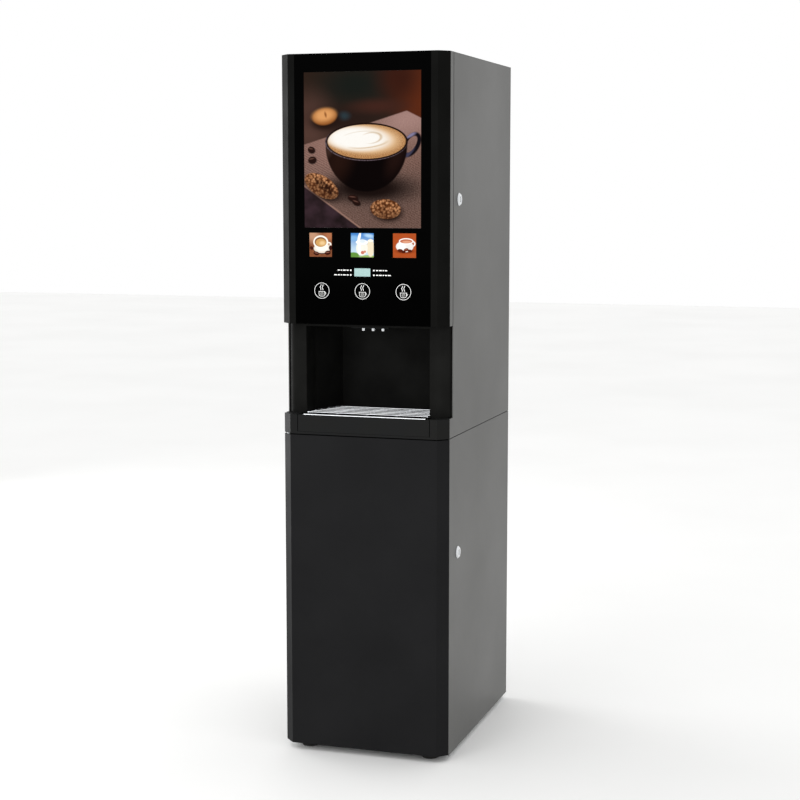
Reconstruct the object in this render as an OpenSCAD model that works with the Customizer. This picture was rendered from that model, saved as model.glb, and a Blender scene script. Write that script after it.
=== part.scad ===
/* [Overall] */
// Width of the machine
unit_w = 300; // [290:1:360]
// Depth from the front plane of the doors to the rear edge of the side sheets
unit_d = 420; // [400:5:520]
// Height of the base cabinet, without its feet
base_h = 556; // [440:1:700]
// Height of the upper dispenser unit
top_h = 648; // [620:1:760]
// Height of the feet
foot_h = 10; // [6:1:40]

/* [Sheets and corners] */
// Thickness of the outer steel sheets
sheet_t = 1.5; // [1:0.1:2]
// Width of the folded sheet flanges
flange_w = 8; // [6:0.5:10]
// Size of the 45 degree corners on doors and tray housing
corner_c = 17; // [14:0.5:20]
// Thickness of the door skins
skin_t = 1.2; // [1:0.1:1.5]
// Radius of the feet
foot_r = 16; // [12:0.5:24]

/* [Upper door] */
// Height of the upper door
door_h = 456.5; // [450:0.5:470]
// Depth of the steel pan behind the black front moulding
pan_d = 17; // [15:0.5:20]
// Gap between the door pan and the side sheets
door_gap = 3; // [2:0.5:5]
// Width of the black front panel
glass_w = 242; // [236:1:250]
// Thickness of the black front panel
glass_t = 4; // [3:0.5:5]
// Width of the poster
poster_w = 208; // [180:1:212]
// Height of the poster
poster_h = 261; // [240:1:264]
// Distance from the top of the door to the poster
poster_drop = 31; // [28:1:40]
// Size of each drink picture
picture_s = 41; // [36:1:44]
// Spacing of the drink pictures, the keys, the canisters and the bowls
drink_pitch = 75; // [70:1:78]
// Width of the display window
lcd_w = 29; // [24:1:34]
// Height of the display window
lcd_h = 14; // [12:1:18]
// Radius of each touch mark
key_r = 14.5; // [12:0.5:17]

/* [Cup station] */
// Height of the tray housing between the cabinet and the ledge
ledge_h = 34; // [30:1:40]
// Setback of the columns from the front plane
column_back = 26; // [20:1:34]
// Radius of the outer corner of each column
column_r = 20; // [12:1:24]
// Half the width of the cup station's mouth
mouth_half = 112; // [104:1:114]
// Half the width of the cup station's back wall
rear_half = 86; // [76:1:92]
// Depth from the front plane to the back wall of the cup station
station_d = 140; // [130:1:150]
// Wall thickness of the cup station moulding
wall_t = 3; // [2:0.5:4]
// Outer radius of a nozzle tube
nozzle_r = 3.5; // [3:0.25:4.5]
// Spacing of the nozzle tubes
nozzle_pitch = 18; // [16:0.5:22]

/* [Rack and tray] */
// Half the width of the wire rack
rack_half = 109; // [100:1:110]
// Radius of the rack's frame wire
frame_wire_r = 1.75; // [1.5:0.05:2]
// Radius of the rack's long wires
wire_r = 1.1; // [0.9:0.05:1.4]
// Number of long wires
long_wires = 6; // [5:1:8]

/* [Drink parts] */
// Spacing of the canisters and mixing bowls
canister_pitch = 94; // [92:0.5:95]
// Width of a powder canister
canister_w = 88; // [82:0.5:90]
// Height of a powder canister
canister_h = 230; // [180:1:240]
// Outer radius of an auger
auger_r = 12; // [10:0.5:13]
// Radius of the hot-water tank
tank_r = 52; // [40:1:60]
// Height of the hot-water tank
tank_h = 190; // [150:1:210]

/* [Hidden] */
$fn = 48;
eps = 0.01;

// Clearances
run = 0.05;      // shaft in its hole, on the radius
slip = 0.3;      // pieces that move past each other or drop into a pocket
fit = 0.2;       // plates set into windows
bond = 0.1;      // glue film under a bonded bracket

// Widths and depths
hw = unit_w / 2;
in_w = hw - sheet_t;
y_front = -unit_d / 2;
y_rear = unit_d / 2;
y_skin = y_front + corner_c;
y_pan = y_skin + pan_d;
y_side = y_pan + door_gap;
back_set = 2;
y_back = y_rear - back_set;
y_in = y_back - sheet_t;

// Heights
z_floor = foot_h;
z_seam = foot_h + base_h;
z_ledge = z_seam + ledge_h;
z_top = z_seam + top_h;
z_door = z_top - door_h;
seam_gap = 0.6;
z_ceiling = z_door - 1.5;
ceiling_t = 4;

// Colours
grey = [0.43, 0.43, 0.42];
zinc = [0.66, 0.67, 0.68];
black = [0.09, 0.09, 0.09];
chrome = [0.82, 0.83, 0.85];
white = [0.88, 0.88, 0.86];

module block(lo, hi) {
    translate(lo) cube(hi - lo);
}

module rod(from, axis, len, r) {
    turn = axis == "x" ? [0, 90, 0] : axis == "y" ? [-90, 0, 0] : [0, 0, 0];
    translate(from) rotate(turn) cylinder(r = r, h = len);
}

// Rod between two points
module strut(a, b, r) {
    d = b - a;
    len = norm(d);
    translate(a) rotate([0, acos(d[2] / len), atan2(d[1], d[0])]) cylinder(r = r, h = len);
}

module round_slot(w, h) {
    for (s = [-1, 1]) translate([s * (w - h) / 2, 0]) circle(d = h);
    square([w - h, h], center = true);
}

// ---- Sheets of the upper unit ----

lock_back = 68;
door_lock_z = z_top - 244;
cabinet_lock_z = z_seam - 205.5;
lock_y = y_front + lock_back;
lock_hole_r = 9.5;

// Side sheet for the right (side = 1) or left (side = -1)
module upper_side(side) {
    y_tongue = side > 0 ? y_skin + seam_gap : y_left_edge;
    x_in = side > 0 ? in_w : -hw;
    x_fl = side > 0 ? in_w - flange_w : -in_w - eps;
    color(grey) difference() {
        union() {
            block([x_in, y_side, z_seam + seam_gap], [x_in + sheet_t, y_rear, z_top - sheet_t]);
            block([x_in, y_tongue, z_seam + seam_gap], [x_in + sheet_t, y_side + eps, z_ledge]);
            block([x_fl, y_side, z_ceiling + 4], [x_fl + flange_w + eps, y_side + sheet_t, z_top - 5]);
        }
        if (side > 0) rod([in_w - 1, lock_y, door_lock_z], "x", 5, lock_hole_r + run);
    }
}

module upper_left_side() upper_side(-1);
module upper_right_side() upper_side(1);

module upper_top() {
    color(grey) union() {
        block([-hw, y_side, z_top - sheet_t], [hw, y_rear, z_top]);
        for (s = [-1, 1]) {
            x = s > 0 ? in_w - sheet_t : -in_w;
            block([x, y_side + 40, z_top - 14], [x + sheet_t, y_in, z_top - sheet_t + eps]);
        }
    }
}

fan_s = 80;
fan_r = 37;
fan_x = 60;
fan_z = z_top - 78;
inlet_x = 95;
switch_x = 50;
inlet_z = z_seam + 44;
inlet_size = [28, 20];
switch_size = [22, 30];

module louvres(x0, count, z0, pitch, len) {
    for (i = [0:count - 1])
        translate([x0, y_in - 1, z0 + i * pitch]) rotate([-90, 0, 0])
            linear_extrude(5) round_slot(len, 4);
}

module upper_back() {
    color(grey) difference() {
        union() {
            block([-in_w, y_in, z_seam + seam_gap], [in_w, y_back, z_top - sheet_t]);
            for (s = [-1, 1]) {
                x = s > 0 ? in_w - sheet_t : -in_w;
                block([x, y_in - 12, z_seam + 16], [x + sheet_t, y_in + eps, z_top - 16]);
            }
        }
        rod([fan_x, y_in - 1, fan_z], "y", 5, fan_r + 1);
        louvres(-60, 7, z_top - 110, 10, 90);
        louvres(0, 6, z_seam + 90, 10, 160);
        translate([inlet_x, y_in - 1, inlet_z]) rotate([-90, 0, 0])
            linear_extrude(5) square(inlet_size + [2 * fit, 2 * fit], center = true);
        translate([switch_x, y_in - 1, inlet_z]) rotate([-90, 0, 0])
            linear_extrude(5) square(switch_size + [2 * fit, 2 * fit], center = true);
    }
}

// Bolts between the two units
bolt_r = 3;
bolt_places = [for (x = [-1, 1]) for (y = [-30, 170]) [x * (hw - 30), y]];
// Holes for the hoses that run up and down between the units
hose_hole_r = 9;
hose_holes = [[-60, 150], [-100, 150]];

module between_holes(z) {
    for (p = bolt_places) rod([p[0], p[1], z - 1], "z", 6, bolt_r + slip);
    for (p = hose_holes) rod([p[0], p[1], z - 1], "z", 6, hose_hole_r);
}

y_base_front = y_front + station_d + 8;

module upper_base() {
    color(zinc) difference() {
        union() {
            block([-in_w, y_base_front, z_seam], [in_w, y_in, z_seam + 2]);
            for (s = [-1, 1]) {
                x = s > 0 ? in_w - sheet_t : -in_w;
                block([x, y_base_front, z_seam], [x + sheet_t, y_in - 14, z_seam + 14]);
            }
        }
        between_holes(z_seam);
    }
}

// ---- Carriers of the drink parts ----

y_plate = y_front + station_d - 26;
plate_t = 2;
whisk_z = z_door + 110;
z_shelf = whisk_z + 78;
shelf_t = 2;
y_canister = y_plate - 34;
canister_d = 190;
y_rear_rest = y_canister + canister_d + 6;
auger_z = z_shelf + shelf_t + 20;
drinks = [-1, 0, 1];
auger_shaft_r = 3;
whisk_shaft_r = 3;

module motor_plate() {
    color(zinc) difference() {
        union() {
            block([-in_w, y_plate, z_ceiling], [in_w, y_plate + plate_t, z_shelf]);
            block([-in_w, y_plate, z_ceiling], [in_w, y_plate + 20, z_ceiling + plate_t]);
        }
        for (i = drinks)
            rod([i * canister_pitch, y_plate - 1, whisk_z], "y", 5, whisk_shaft_r + 1);
    }
}

module canister_shelf() {
    color(zinc) difference() {
        union() {
            block([-in_w, y_canister + 4, z_shelf], [in_w, y_rear_rest + plate_t, z_shelf + shelf_t]);
            block([-in_w, y_rear_rest, z_shelf], [in_w, y_rear_rest + plate_t, auger_z + 26]);
            for (s = [-1, 1]) {
                x = s > 0 ? in_w - plate_t : -in_w;
                block([x, y_canister + 60, z_shelf - 14], [x + plate_t, y_rear_rest, z_shelf + eps]);
            }
        }
        for (i = drinks)
            rod([i * canister_pitch, y_rear_rest - 1, auger_z], "y", 5, auger_shaft_r + 1);
    }
}

// ---- Cup station ----

y_column = y_front + column_back;
y_station = y_front + station_d;
splay_start = 70;
station_half = in_w - 0.5;
nozzle_d = 58;
y_nozzle = y_front + nozzle_d;
block_half = 33.7;
block_y = [y_nozzle - 18, y_nozzle + 18];
block_flange = 4;

module station_outer(inset, y_end) {
    half = station_half - inset;
    r = column_r - inset;
    y0 = y_column + inset;
    translate([-half + r, y0]) square([2 * (half - r), r]);
    translate([-half, y0 + r]) square([2 * half, y_end - y0 - r]);
    for (s = [-1, 1]) translate([s * (half - r), y0 + r]) circle(r = r, $fn = 96);
}

module station_mouth(grow) {
    y_splay = y_front + splay_start;
    polygon([
        [-mouth_half - grow, y_column - 9], [-mouth_half - grow, y_splay + grow / 2],
        [-rear_half - grow, y_station + grow], [rear_half + grow, y_station + grow],
        [mouth_half + grow, y_splay + grow / 2], [mouth_half + grow, y_column - 9]
    ]);
}

module cup_station() {
    z_under = z_ceiling - ceiling_t;
    y_end = y_station + 4;
    color(black) difference() {
        translate([0, 0, z_ledge]) linear_extrude(z_ceiling - z_ledge) station_outer(0, y_end);
        translate([0, 0, z_ledge - 1]) linear_extrude(z_under - z_ledge + 1) station_mouth(0);
        // Hollow columns, open at the back
        translate([0, 0, z_ledge + wall_t]) linear_extrude(z_under - z_ledge - wall_t) difference() {
            station_outer(wall_t, y_end + 1);
            station_mouth(wall_t);
        }
        block([-block_half - fit, block_y[0] - fit, z_ceiling - 10],
            [block_half + fit, block_y[1] + fit, z_ceiling + 1]);
    }
}

tray_half = 118.8;
tray_floor = 4;
tray_gap = 1.2;

module tray_housing() {
    slot_half = tray_half + tray_gap;
    color(black) difference() {
        translate([0, 0, z_seam]) linear_extrude(ledge_h) polygon([
            [-hw, y_skin], [-hw + corner_c, y_front], [hw - corner_c, y_front], [hw, y_skin],
            [in_w - seam_gap, y_skin], [in_w - seam_gap, y_station + 6],
            [-in_w + seam_gap, y_station + 6], [-in_w + seam_gap, y_skin]
        ]);
        block([-slot_half, y_front - 1, z_seam + tray_floor],
            [slot_half, y_station - 4, z_seam + ledge_h + 1]);
        for (s = [-1, 1]) {
            x = s * (slot_half + in_w - seam_gap) / 2;
            hollow = (in_w - seam_gap - slot_half) / 2 - wall_t;
            block([x - hollow, y_skin + 6, z_seam - 1], [x + hollow, y_station - 2, z_ledge - wall_t]);
        }
    }
}

rail_half = 107;
rack_seat = z_ledge - 2.5;

module drip_tray() {
    z0 = z_seam + tray_floor + slip;
    z1 = z_ledge - 0.5;
    y1 = y_station - 5;
    color(black) difference() {
        block([-tray_half, y_front, z0], [tray_half, y1, z1]);
        block([-rail_half, y_front + 6, z0 + 2.5], [rail_half, y1 - 2.5, z1 + 1]);
        block([-tray_half + 2.5, y_front + 4, rack_seat], [tray_half - 2.5, y1 - 1.5, z1 + 1]);
    }
}

rack_front = y_front + 7;
rack_bend = y_front + splay_start - 5;
rack_rear = y_station - 9;
rack_rear_half = rear_half - 4;

module wire_rack() {
    z = rack_seat + frame_wire_r;
    corners = [
        [-rack_half, rack_front], [rack_half, rack_front], [rack_half, rack_bend],
        [rack_rear_half, rack_rear], [-rack_rear_half, rack_rear], [-rack_half, rack_bend]
    ];
    z_long = z + frame_wire_r + wire_r - 0.5;
    color(chrome) union() {
        for (i = [0:5]) {
            a = corners[i];
            b = corners[(i + 1) % 6];
            u = (b - a) / norm(b - a) * frame_wire_r * 0.7;
            strut([a[0] - u[0], a[1] - u[1], z], [b[0] + u[0], b[1] + u[1], z], frame_wire_r);
        }
        for (i = [-1, 0, 1])
            rod([i * rack_half / 2, rack_front - 0.3, z + 0.25], "y", rack_rear - rack_front + 0.6,
                frame_wire_r - 0.35);
        for (k = [1:long_wires]) {
            y = rack_front + k * (rack_rear - rack_front) / (long_wires + 1);
            half = y < rack_bend ? rack_half
                : rack_half - (rack_half - rack_rear_half) * (y - rack_bend) / (rack_rear - rack_bend);
            rod([-half - 0.7, y, z_long], "x", 2 * half + 1.4, wire_r);
        }
    }
}

nozzle_tip = z_door - 14;
nozzle_top = z_door + 26;
nozzle_places = [for (i = drinks) i * nozzle_pitch];

module nozzle_block() {
    color(black) difference() {
        union() {
            block([-block_half, block_y[0], z_ceiling - 7], [block_half, block_y[1], z_ceiling + 0.1]);
            block([-block_half - block_flange, y_side, z_ceiling],
                [block_half + block_flange, block_y[1] + block_flange, z_ceiling + 3]);
        }
        for (x = nozzle_places) rod([x, y_nozzle, z_ceiling - 20], "z", 40, nozzle_r + run);
    }
}

module nozzles() {
    color(chrome) for (x = nozzle_places) translate([x, y_nozzle, 0]) difference() {
        union() {
            translate([0, 0, nozzle_tip]) cylinder(r = nozzle_r, h = nozzle_top - nozzle_tip);
            translate([0, 0, z_ceiling + 3]) cylinder(r = nozzle_r + 2.5, h = 3);
        }
        translate([0, 0, nozzle_tip - 1]) cylinder(r = nozzle_r - 0.8, h = 60);
    }
}

// ---- Upper door ----

hinge_in = 5.5;
door_axis = [-hw + hinge_in, y_pan - hinge_in];
door_pin_r = 3;
plate_h = 2.5;
joggle_w = 30;
z_top_plate = z_top - sheet_t - plate_h;
z_low_plate = z_ceiling;
door_keeper_x = in_w - 25;
keeper_t = 2.5;

// Flat hook that the lock's cam finger turns up into, y0 is where it leaves its door
module keeper(x, y0, z) {
    y1 = lock_y - cam_reach + 10;
    block([x, y0 - 1, z + 5], [x + keeper_t, y1 + 5, z + 13]);
    block([x, y1, z - 6], [x + keeper_t, y1 + 5, z + 13]);
    block([x - 6, y0, z + 4], [x + keeper_t, y0 + 1.2, z + 14]);
}

module door_pan() {
    z0 = z_door;
    z1 = z_top;
    x_j = -hw + joggle_w;
    z_up = z_top_plate - 0.4;
    z_dn = z_low_plate + plate_h + 0.4;
    ax = door_axis;
    color(grey) difference() {
        union() {
            difference() {
                block([-hw, y_skin, z0], [hw, y_pan, z1]);
                block([-hw + skin_t, y_skin + skin_t, z0 + skin_t],
                    [hw - skin_t, y_pan + 1, z1 - skin_t]);
                block([-hw - 1, y_skin + skin_t, z_up], [x_j, y_pan + 1, z1 + 1]);
                block([-hw - 1, y_skin + skin_t, z0 - 1], [x_j, y_pan + 1, z_dn]);
            }
            block([-hw, y_skin, z_up - skin_t], [x_j, y_pan, z_up]);
            block([x_j - skin_t, y_skin, z_up - skin_t], [x_j, y_pan, z1]);
            block([-hw, y_skin, z_dn], [x_j, y_pan, z_dn + skin_t]);
            block([x_j - skin_t, y_skin, z0], [x_j, y_pan, z_dn + skin_t]);
            translate([ax[0], ax[1], z_up - 9]) cylinder(r = 5, h = 8.5);
            translate([ax[0], ax[1], z_dn + 0.5]) cylinder(r = 5, h = 8.5);
            keeper(door_keeper_x, y_pan - pan_d + skin_t - 0.2, door_lock_z);
        }
        translate([ax[0], ax[1], z_up - 10]) cylinder(r = door_pin_r + run, h = 12);
        translate([ax[0], ax[1], z_dn - 1]) cylinder(r = door_pin_r + run, h = 12);
    }
}

light_d = 6;
well_half = 109;
z_well0 = z_top - 440;
z_well1 = z_top - 24;
half_glass = glass_w / 2;
panel_set = 0.3;  // black panel behind the face of the moulding
panel_y = y_front + panel_set;

module door_front() {
    color(black) difference() {
        translate([0, 0, z_door]) linear_extrude(door_h) polygon([
            [-hw, y_skin], [-hw + corner_c, y_front], [hw - corner_c, y_front], [hw, y_skin]
        ]);
        block([-half_glass - fit, y_front - 1, z_door - 1],
            [half_glass + fit, y_front + glass_t, z_top + 1]);
        block([-well_half, y_front, z_well0], [well_half, y_skin - 2, z_well1]);
    }
}

poster_z = [z_top - poster_drop - poster_h, z_top - poster_drop];
picture_z = z_top - 321;
lcd_z = z_top - 367;
key_z = z_top - 399;

// A window or the plate that fills it, grow widens it all round
module window(x, z, w, h, y0, y1, grow) {
    block([x - w / 2 - grow, y0, z - h / 2 - grow], [x + w / 2 + grow, y1, z + h / 2 + grow]);
}

module front_panel() {
    y1 = y_front + glass_t;
    color(black) difference() {
        block([-half_glass, panel_y, z_door], [half_glass, y1, z_top]);
        window(0, (poster_z[0] + poster_z[1]) / 2, poster_w, poster_h, y_front - 1, y1 + 1, 0);
        for (i = drinks)
            window(i * drink_pitch, picture_z, picture_s, picture_s, y_front - 1, y1 + 1, 0);
        window(0, lcd_z, lcd_w, lcd_h, y_front - 1, y1 + 1, 0);
    }
}

module poster() {
    color([0.3, 0.2, 0.14])
        window(0, (poster_z[0] + poster_z[1]) / 2, poster_w, poster_h, panel_y, y_front + glass_t, -fit);
}

module drink_pictures() {
    color([0.6, 0.4, 0.25]) for (i = drinks)
        window(i * drink_pitch, picture_z, picture_s, picture_s, panel_y, y_front + glass_t, -fit);
}

lcd_body = [38, 24, 6];

module display() {
    y1 = y_front + glass_t;
    color([0.7, 0.88, 0.86]) union() {
        window(0, lcd_z, lcd_w, lcd_h, panel_y, y1 + 0.5, -fit);
        window(0, lcd_z, lcd_body[0], lcd_body[1], y1, y1 + lcd_body[2], 0);
    }
}

module light_panel() {
    y1 = y_front + glass_t;
    color(white) difference() {
        block([-well_half + 2, y1, poster_z[0] - 3], [well_half - 2, y1 + light_d, z_well1 - 2]);
        // Rows of lamp lenses in the back cover
        for (x = [-80:20:80]) for (z = [poster_z[0] + 20:40:poster_z[1] - 20])
            rod([x, y1 + light_d - 1, z], "y", 2, 3);
    }
}

module touch_board() {
    y1 = y_front + glass_t;
    t = 1.6;
    color([0.1, 0.32, 0.18]) difference() {
        union() {
            block([-well_half + 2, y1, z_well0 + 2], [well_half - 2, y1 + t, poster_z[0] - 4]);
            for (i = drinks)
                rod([i * drink_pitch, y1 + t - eps, key_z], "y", 1.5, key_r);
            for (x = [-45, 45]) block([x - 7, y1 + t - eps, lcd_z - 8], [x + 7, y1 + t + 2.5, lcd_z + 8]);
        }
        window(0, lcd_z, lcd_body[0], lcd_body[1], y1 - 1, y1 + t + 5, fit);
    }
}

// ---- Hinges and locks ----

cab_in_x = 11;
cab_in_y = 4;
cab_axis = [-hw + cab_in_x, y_skin - cab_in_y];
cab_pin_r = 2.5;
cab_sweep = norm([cab_in_x, cab_in_y]) - cab_in_y;
y_left_edge = y_skin + cab_sweep + 0.8;
z_cab_door = [z_floor + 1.7, z_seam - 1.8];

// Plate under the roof (or over the sill) of the upper unit
module door_hinge_plate(z) {
    ax = door_axis;
    difference() {
        union() {
            translate([ax[0], ax[1], z]) cylinder(r = 5.3, h = plate_h);
            block([ax[0] - 3.8, ax[1], z], [ax[0] + 5.3, y_side + 26, z + plate_h]);
            block([ax[0] - 3.8, y_side + 4, z], [ax[0] + 26, y_side + 26, z + plate_h]);
        }
        translate([ax[0], ax[1], z - 1]) cylinder(r = door_pin_r, h = plate_h + 2);
    }
}

// Cranked plate of the cabinet door, drawn for the top and mirrored for the floor
module cabinet_hinge_plate() {
    ax = cab_axis;
    z = z_seam;
    t = 1.6;
    y_step = y_left_edge - 0.5;
    difference() {
        union() {
            translate([ax[0], ax[1], z - t]) cylinder(r = 4.6, h = t);
            block([ax[0] - 4.6, ax[1], z - t], [ax[0] + 4.6, y_step + 1.6, z]);
            block([ax[0] - 4.6, y_step, z - sheet_t - t], [ax[0] + 4.6, y_step + 1.6, z]);
            block([ax[0] - 4.6, y_step, z - sheet_t - t], [ax[0] + 18, y_step + 34, z - sheet_t]);
        }
        translate([ax[0], ax[1], z - t - 1]) cylinder(r = cab_pin_r, h = t + 2);
    }
}

module at_cabinet_floor() {
    translate([0, 0, z_seam + z_floor]) mirror([0, 0, 1]) children();
}

module hinge_plates() {
    color(zinc) {
        door_hinge_plate(z_top_plate);
        door_hinge_plate(z_low_plate);
        cabinet_hinge_plate();
        at_cabinet_floor() cabinet_hinge_plate();
    }
}

module hinge_pins() {
    ax = door_axis;
    cx = cab_axis;
    color(chrome) {
        translate([ax[0], ax[1], z_top_plate - 8]) cylinder(r = door_pin_r, h = plate_h + 8);
        translate([ax[0], ax[1], z_low_plate]) cylinder(r = door_pin_r, h = plate_h + 8);
        translate([cx[0], cx[1], z_seam - 11]) cylinder(r = cab_pin_r, h = 11);
        translate([cx[0], cx[1], z_floor]) cylinder(r = cab_pin_r, h = 11);
    }
}

lock_head_r = 11;
lock_proud = 3.5;
plug_r = 5.6;
lock_depth = 17;
cam_reach = 30;
cam_t = 2;

module lock_body(z) {
    translate([0, lock_y, z]) difference() {
        union() {
            rod([hw - lock_depth, 0, 0], "x", lock_depth + 0.5, lock_hole_r);
            translate([hw, 0, 0]) rotate([0, 90, 0]) rotate_extrude($fn = 96) polygon([
                [0, 0], [lock_head_r, 0], [lock_head_r, 1.2], [lock_head_r - 2.2, lock_proud], [0, lock_proud]
            ]);
            rod([in_w - 3.2, 0, 0], "x", 3.2, lock_hole_r + 3);
        }
        rod([hw - lock_depth - 1, 0, 0], "x", lock_depth + 10, plug_r + run);
    }
}

module lock_bodies() {
    color(chrome) {
        lock_body(door_lock_z);
        lock_body(cabinet_lock_z);
    }
}

// Turning plug with its cam, hanging down when unlocked
module lock_plug(z) {
    x_cam = hw - lock_depth - slip;
    color(chrome) translate([0, lock_y, z]) difference() {
        union() {
            rod([x_cam - cam_t, 0, 0], "x", lock_depth + slip + cam_t + lock_proud - 0.6, plug_r);
            block([x_cam - cam_t, -4, -cam_reach], [x_cam, 4, 0]);
            block([door_keeper_x - 3, -3, -cam_reach], [x_cam, 3, -cam_reach + 4]);
            rod([x_cam - cam_t - 2, 0, 0], "x", 3, 4);
        }
        block([hw + lock_proud - 3.4, -0.9, -3.6], [hw + lock_proud, 0.9, 3.6]);
        for (s = [-1, 1]) rod([hw + lock_proud - 3.4, 0, s * 3], "x", 4, 1.2);
    }
}

module door_lock_plug() lock_plug(door_lock_z);
module cabinet_lock_plug() lock_plug(cabinet_lock_z);

// ---- Canisters, augers, bowls and whisks ----

z_can = z_shelf + shelf_t;
spout_r = 15.5;
spout_len = 25;
can_wall = 2.5;

module canister(i) {
    w = canister_w / 2;
    color([0.75, 0.74, 0.7]) translate([i * canister_pitch, 0, 0]) difference() {
        union() {
            block([-w, y_canister, z_can], [w, y_canister + canister_d, z_can + canister_h]);
            rod([0, y_canister - spout_len, auger_z], "y", spout_len + 1, spout_r);
        }
        block([-w + can_wall, y_canister + can_wall, auger_z + 6],
            [w - can_wall, y_canister + canister_d - can_wall, z_can + canister_h + 1]);
        // Trough that the auger turns in, through to the spout
        rod([0, y_canister - spout_len + 2, auger_z], "y", canister_d + spout_len - 2 - can_wall,
            spout_r - 2.5);
        block([-spout_r + 2.5, y_canister + can_wall, auger_z],
            [spout_r - 2.5, y_canister + canister_d - can_wall, auger_z + 7]);
        // Mouth in the underside of the spout
        block([-8, y_canister - spout_len + 3, auger_z - 30], [8, y_canister - 6, auger_z]);
        rod([0, y_canister + canister_d - can_wall - 1, auger_z], "y", 6, auger_shaft_r + run);
    }
}

module left_canister() canister(-1);
module middle_canister() canister(0);
module right_canister() canister(1);

module canister_lids() {
    w = canister_w / 2;
    z = z_can + canister_h;
    color(black) for (i = drinks) translate([i * canister_pitch, 0, 0]) difference() {
        union() {
            block([-w - 1, y_canister - 1, z], [w + 1, y_canister + canister_d + 1, z + 4]);
            block([-w + can_wall + slip, y_canister + can_wall + slip, z - 5],
                [w - can_wall - slip, y_canister + canister_d - can_wall - slip, z + 1]);
        }
        block([-w + 6, y_canister + 6, z - 6], [w - 6, y_canister + canister_d - 6, z + 2]);
    }
}

flight_pitch = 17;
flights = 12;

module auger(i) {
    y0 = y_canister - spout_len + 2.5;
    y1 = y_rear_rest + plate_t + 8;
    color(white) translate([i * canister_pitch, 0, auger_z]) union() {
        rod([0, y0, 0], "y", y1 - y0, auger_shaft_r);
        for (k = [0:flights - 1])
            translate([0, y0 + 7 + k * flight_pitch, 0]) rotate([-90 + 16, 0, 0])
                cylinder(r = auger_r - 0.6, h = 1.6, center = true);
    }
}

module left_auger() auger(-1);
module middle_auger() auger(0);
module right_auger() auger(1);

module auger_motors() {
    y0 = y_rear_rest + plate_t;
    color(zinc) for (i = drinks) translate([i * canister_pitch, y0, auger_z]) difference() {
        union() {
            block([-20, 0, -18], [20, 16, 18]);
            rod([0, 15, 0], "y", 26, 14);
        }
        rod([0, -1, 0], "y", 11, auger_shaft_r + run);
    }
}

bowl_r = 21;
bowl_y0 = y_plate - 44;
funnel_r = 31;
funnel_h = 34;
spout_low = whisk_z - 34;
bowl_out_r = 5;

module mixing_bowls() {
    yc = y_plate - 32;
    color([0.85, 0.85, 0.82]) for (i = drinks) translate([i * canister_pitch, 0, 0]) difference() {
        union() {
            rod([0, bowl_y0, whisk_z], "y", y_plate - bowl_y0, bowl_r);
            translate([0, yc, whisk_z + 12]) cylinder(r1 = 16, r2 = funnel_r, h = funnel_h);
            translate([0, bowl_y0 + 8, spout_low]) cylinder(r = bowl_out_r + 2, h = 24);
        }
        rod([0, bowl_y0 + 2.5, whisk_z], "y", y_plate - bowl_y0 - 6, bowl_r - 2.5);
        translate([0, yc, whisk_z + 11]) cylinder(r1 = 13, r2 = funnel_r - 2, h = funnel_h + 2);
        translate([0, bowl_y0 + 8, spout_low - 1]) cylinder(r = bowl_out_r, h = 26);
        rod([0, y_plate - 5, whisk_z], "y", 6, whisk_shaft_r + run);
    }
}

module whisk(i) {
    y0 = bowl_y0 + 6;
    color(white) translate([i * canister_pitch, 0, whisk_z]) union() {
        rod([0, y0, 0], "y", y_plate + plate_t + 10 - y0, whisk_shaft_r);
        rod([0, y0 + 12, 0], "y", 2, 12);
        for (a = [0:60:300]) rotate([0, a, 0]) block([5, y0 + 4, -0.8], [12, y0 + 13, 0.8]);
    }
}

module left_whisk() whisk(-1);
module middle_whisk() whisk(0);
module right_whisk() whisk(1);

module whisk_motors() {
    y0 = y_plate + plate_t;
    color(zinc) for (i = drinks) translate([i * canister_pitch, y0, whisk_z]) difference() {
        union() {
            rod([0, 0, 0], "y", 44, 19);
            rod([0, 43, 0], "y", 6, 8);
        }
        rod([0, -1, 0], "y", 12, whisk_shaft_r + run);
    }
}

// ---- Water and electrics ----

tank_at = [-70, 70];
tank_z = z_seam + 2 + 24;

module water_tank() {
    color(zinc) translate([tank_at[0], tank_at[1], tank_z]) union() {
        cylinder(r = tank_r, h = tank_h);
        translate([0, 0, tank_h - eps]) cylinder(r = tank_r - 12, h = 8);
        for (a = [45:90:315]) rotate([0, 0, a]) translate([tank_r - 12, 0, -24]) cylinder(r = 5, h = 25);
        for (a = [0, 120, 240]) rotate([0, 0, a]) translate([20, 0, tank_h]) cylinder(r = 5, h = 20);
    }
}

valve_z = z_door + 26;

module water_valves() {
    y0 = y_plate + plate_t;
    color(white) for (i = drinks) translate([i * canister_pitch, y0, valve_z]) union() {
        block([-14, 0, -12], [14, 34, 12]);
        rod([0, 33, 0], "y", 12, 9);
        translate([0, 18, -24]) cylinder(r = 4, h = 14);
    }
}

hose_r = 5.4;

module drink_hoses() {
    y_top = bowl_y0 + 8;
    z_hi = spout_low;
    color([0.8, 0.8, 0.76]) for (i = drinks) {
        a = [i * canister_pitch, y_top, z_hi];
        b = [i * canister_pitch, y_top, z_hi - 6];
        c = [i * nozzle_pitch, y_nozzle, nozzle_top + 6];
        d = [i * nozzle_pitch, y_nozzle, nozzle_top];
        union() {
            strut(b, a, hose_r);
            strut(c, b, hose_r);
            strut(d, c, hose_r);
            translate(b) sphere(r = hose_r + 0.2);
            translate(c) sphere(r = hose_r + 0.2);
        }
    }
}

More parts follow.
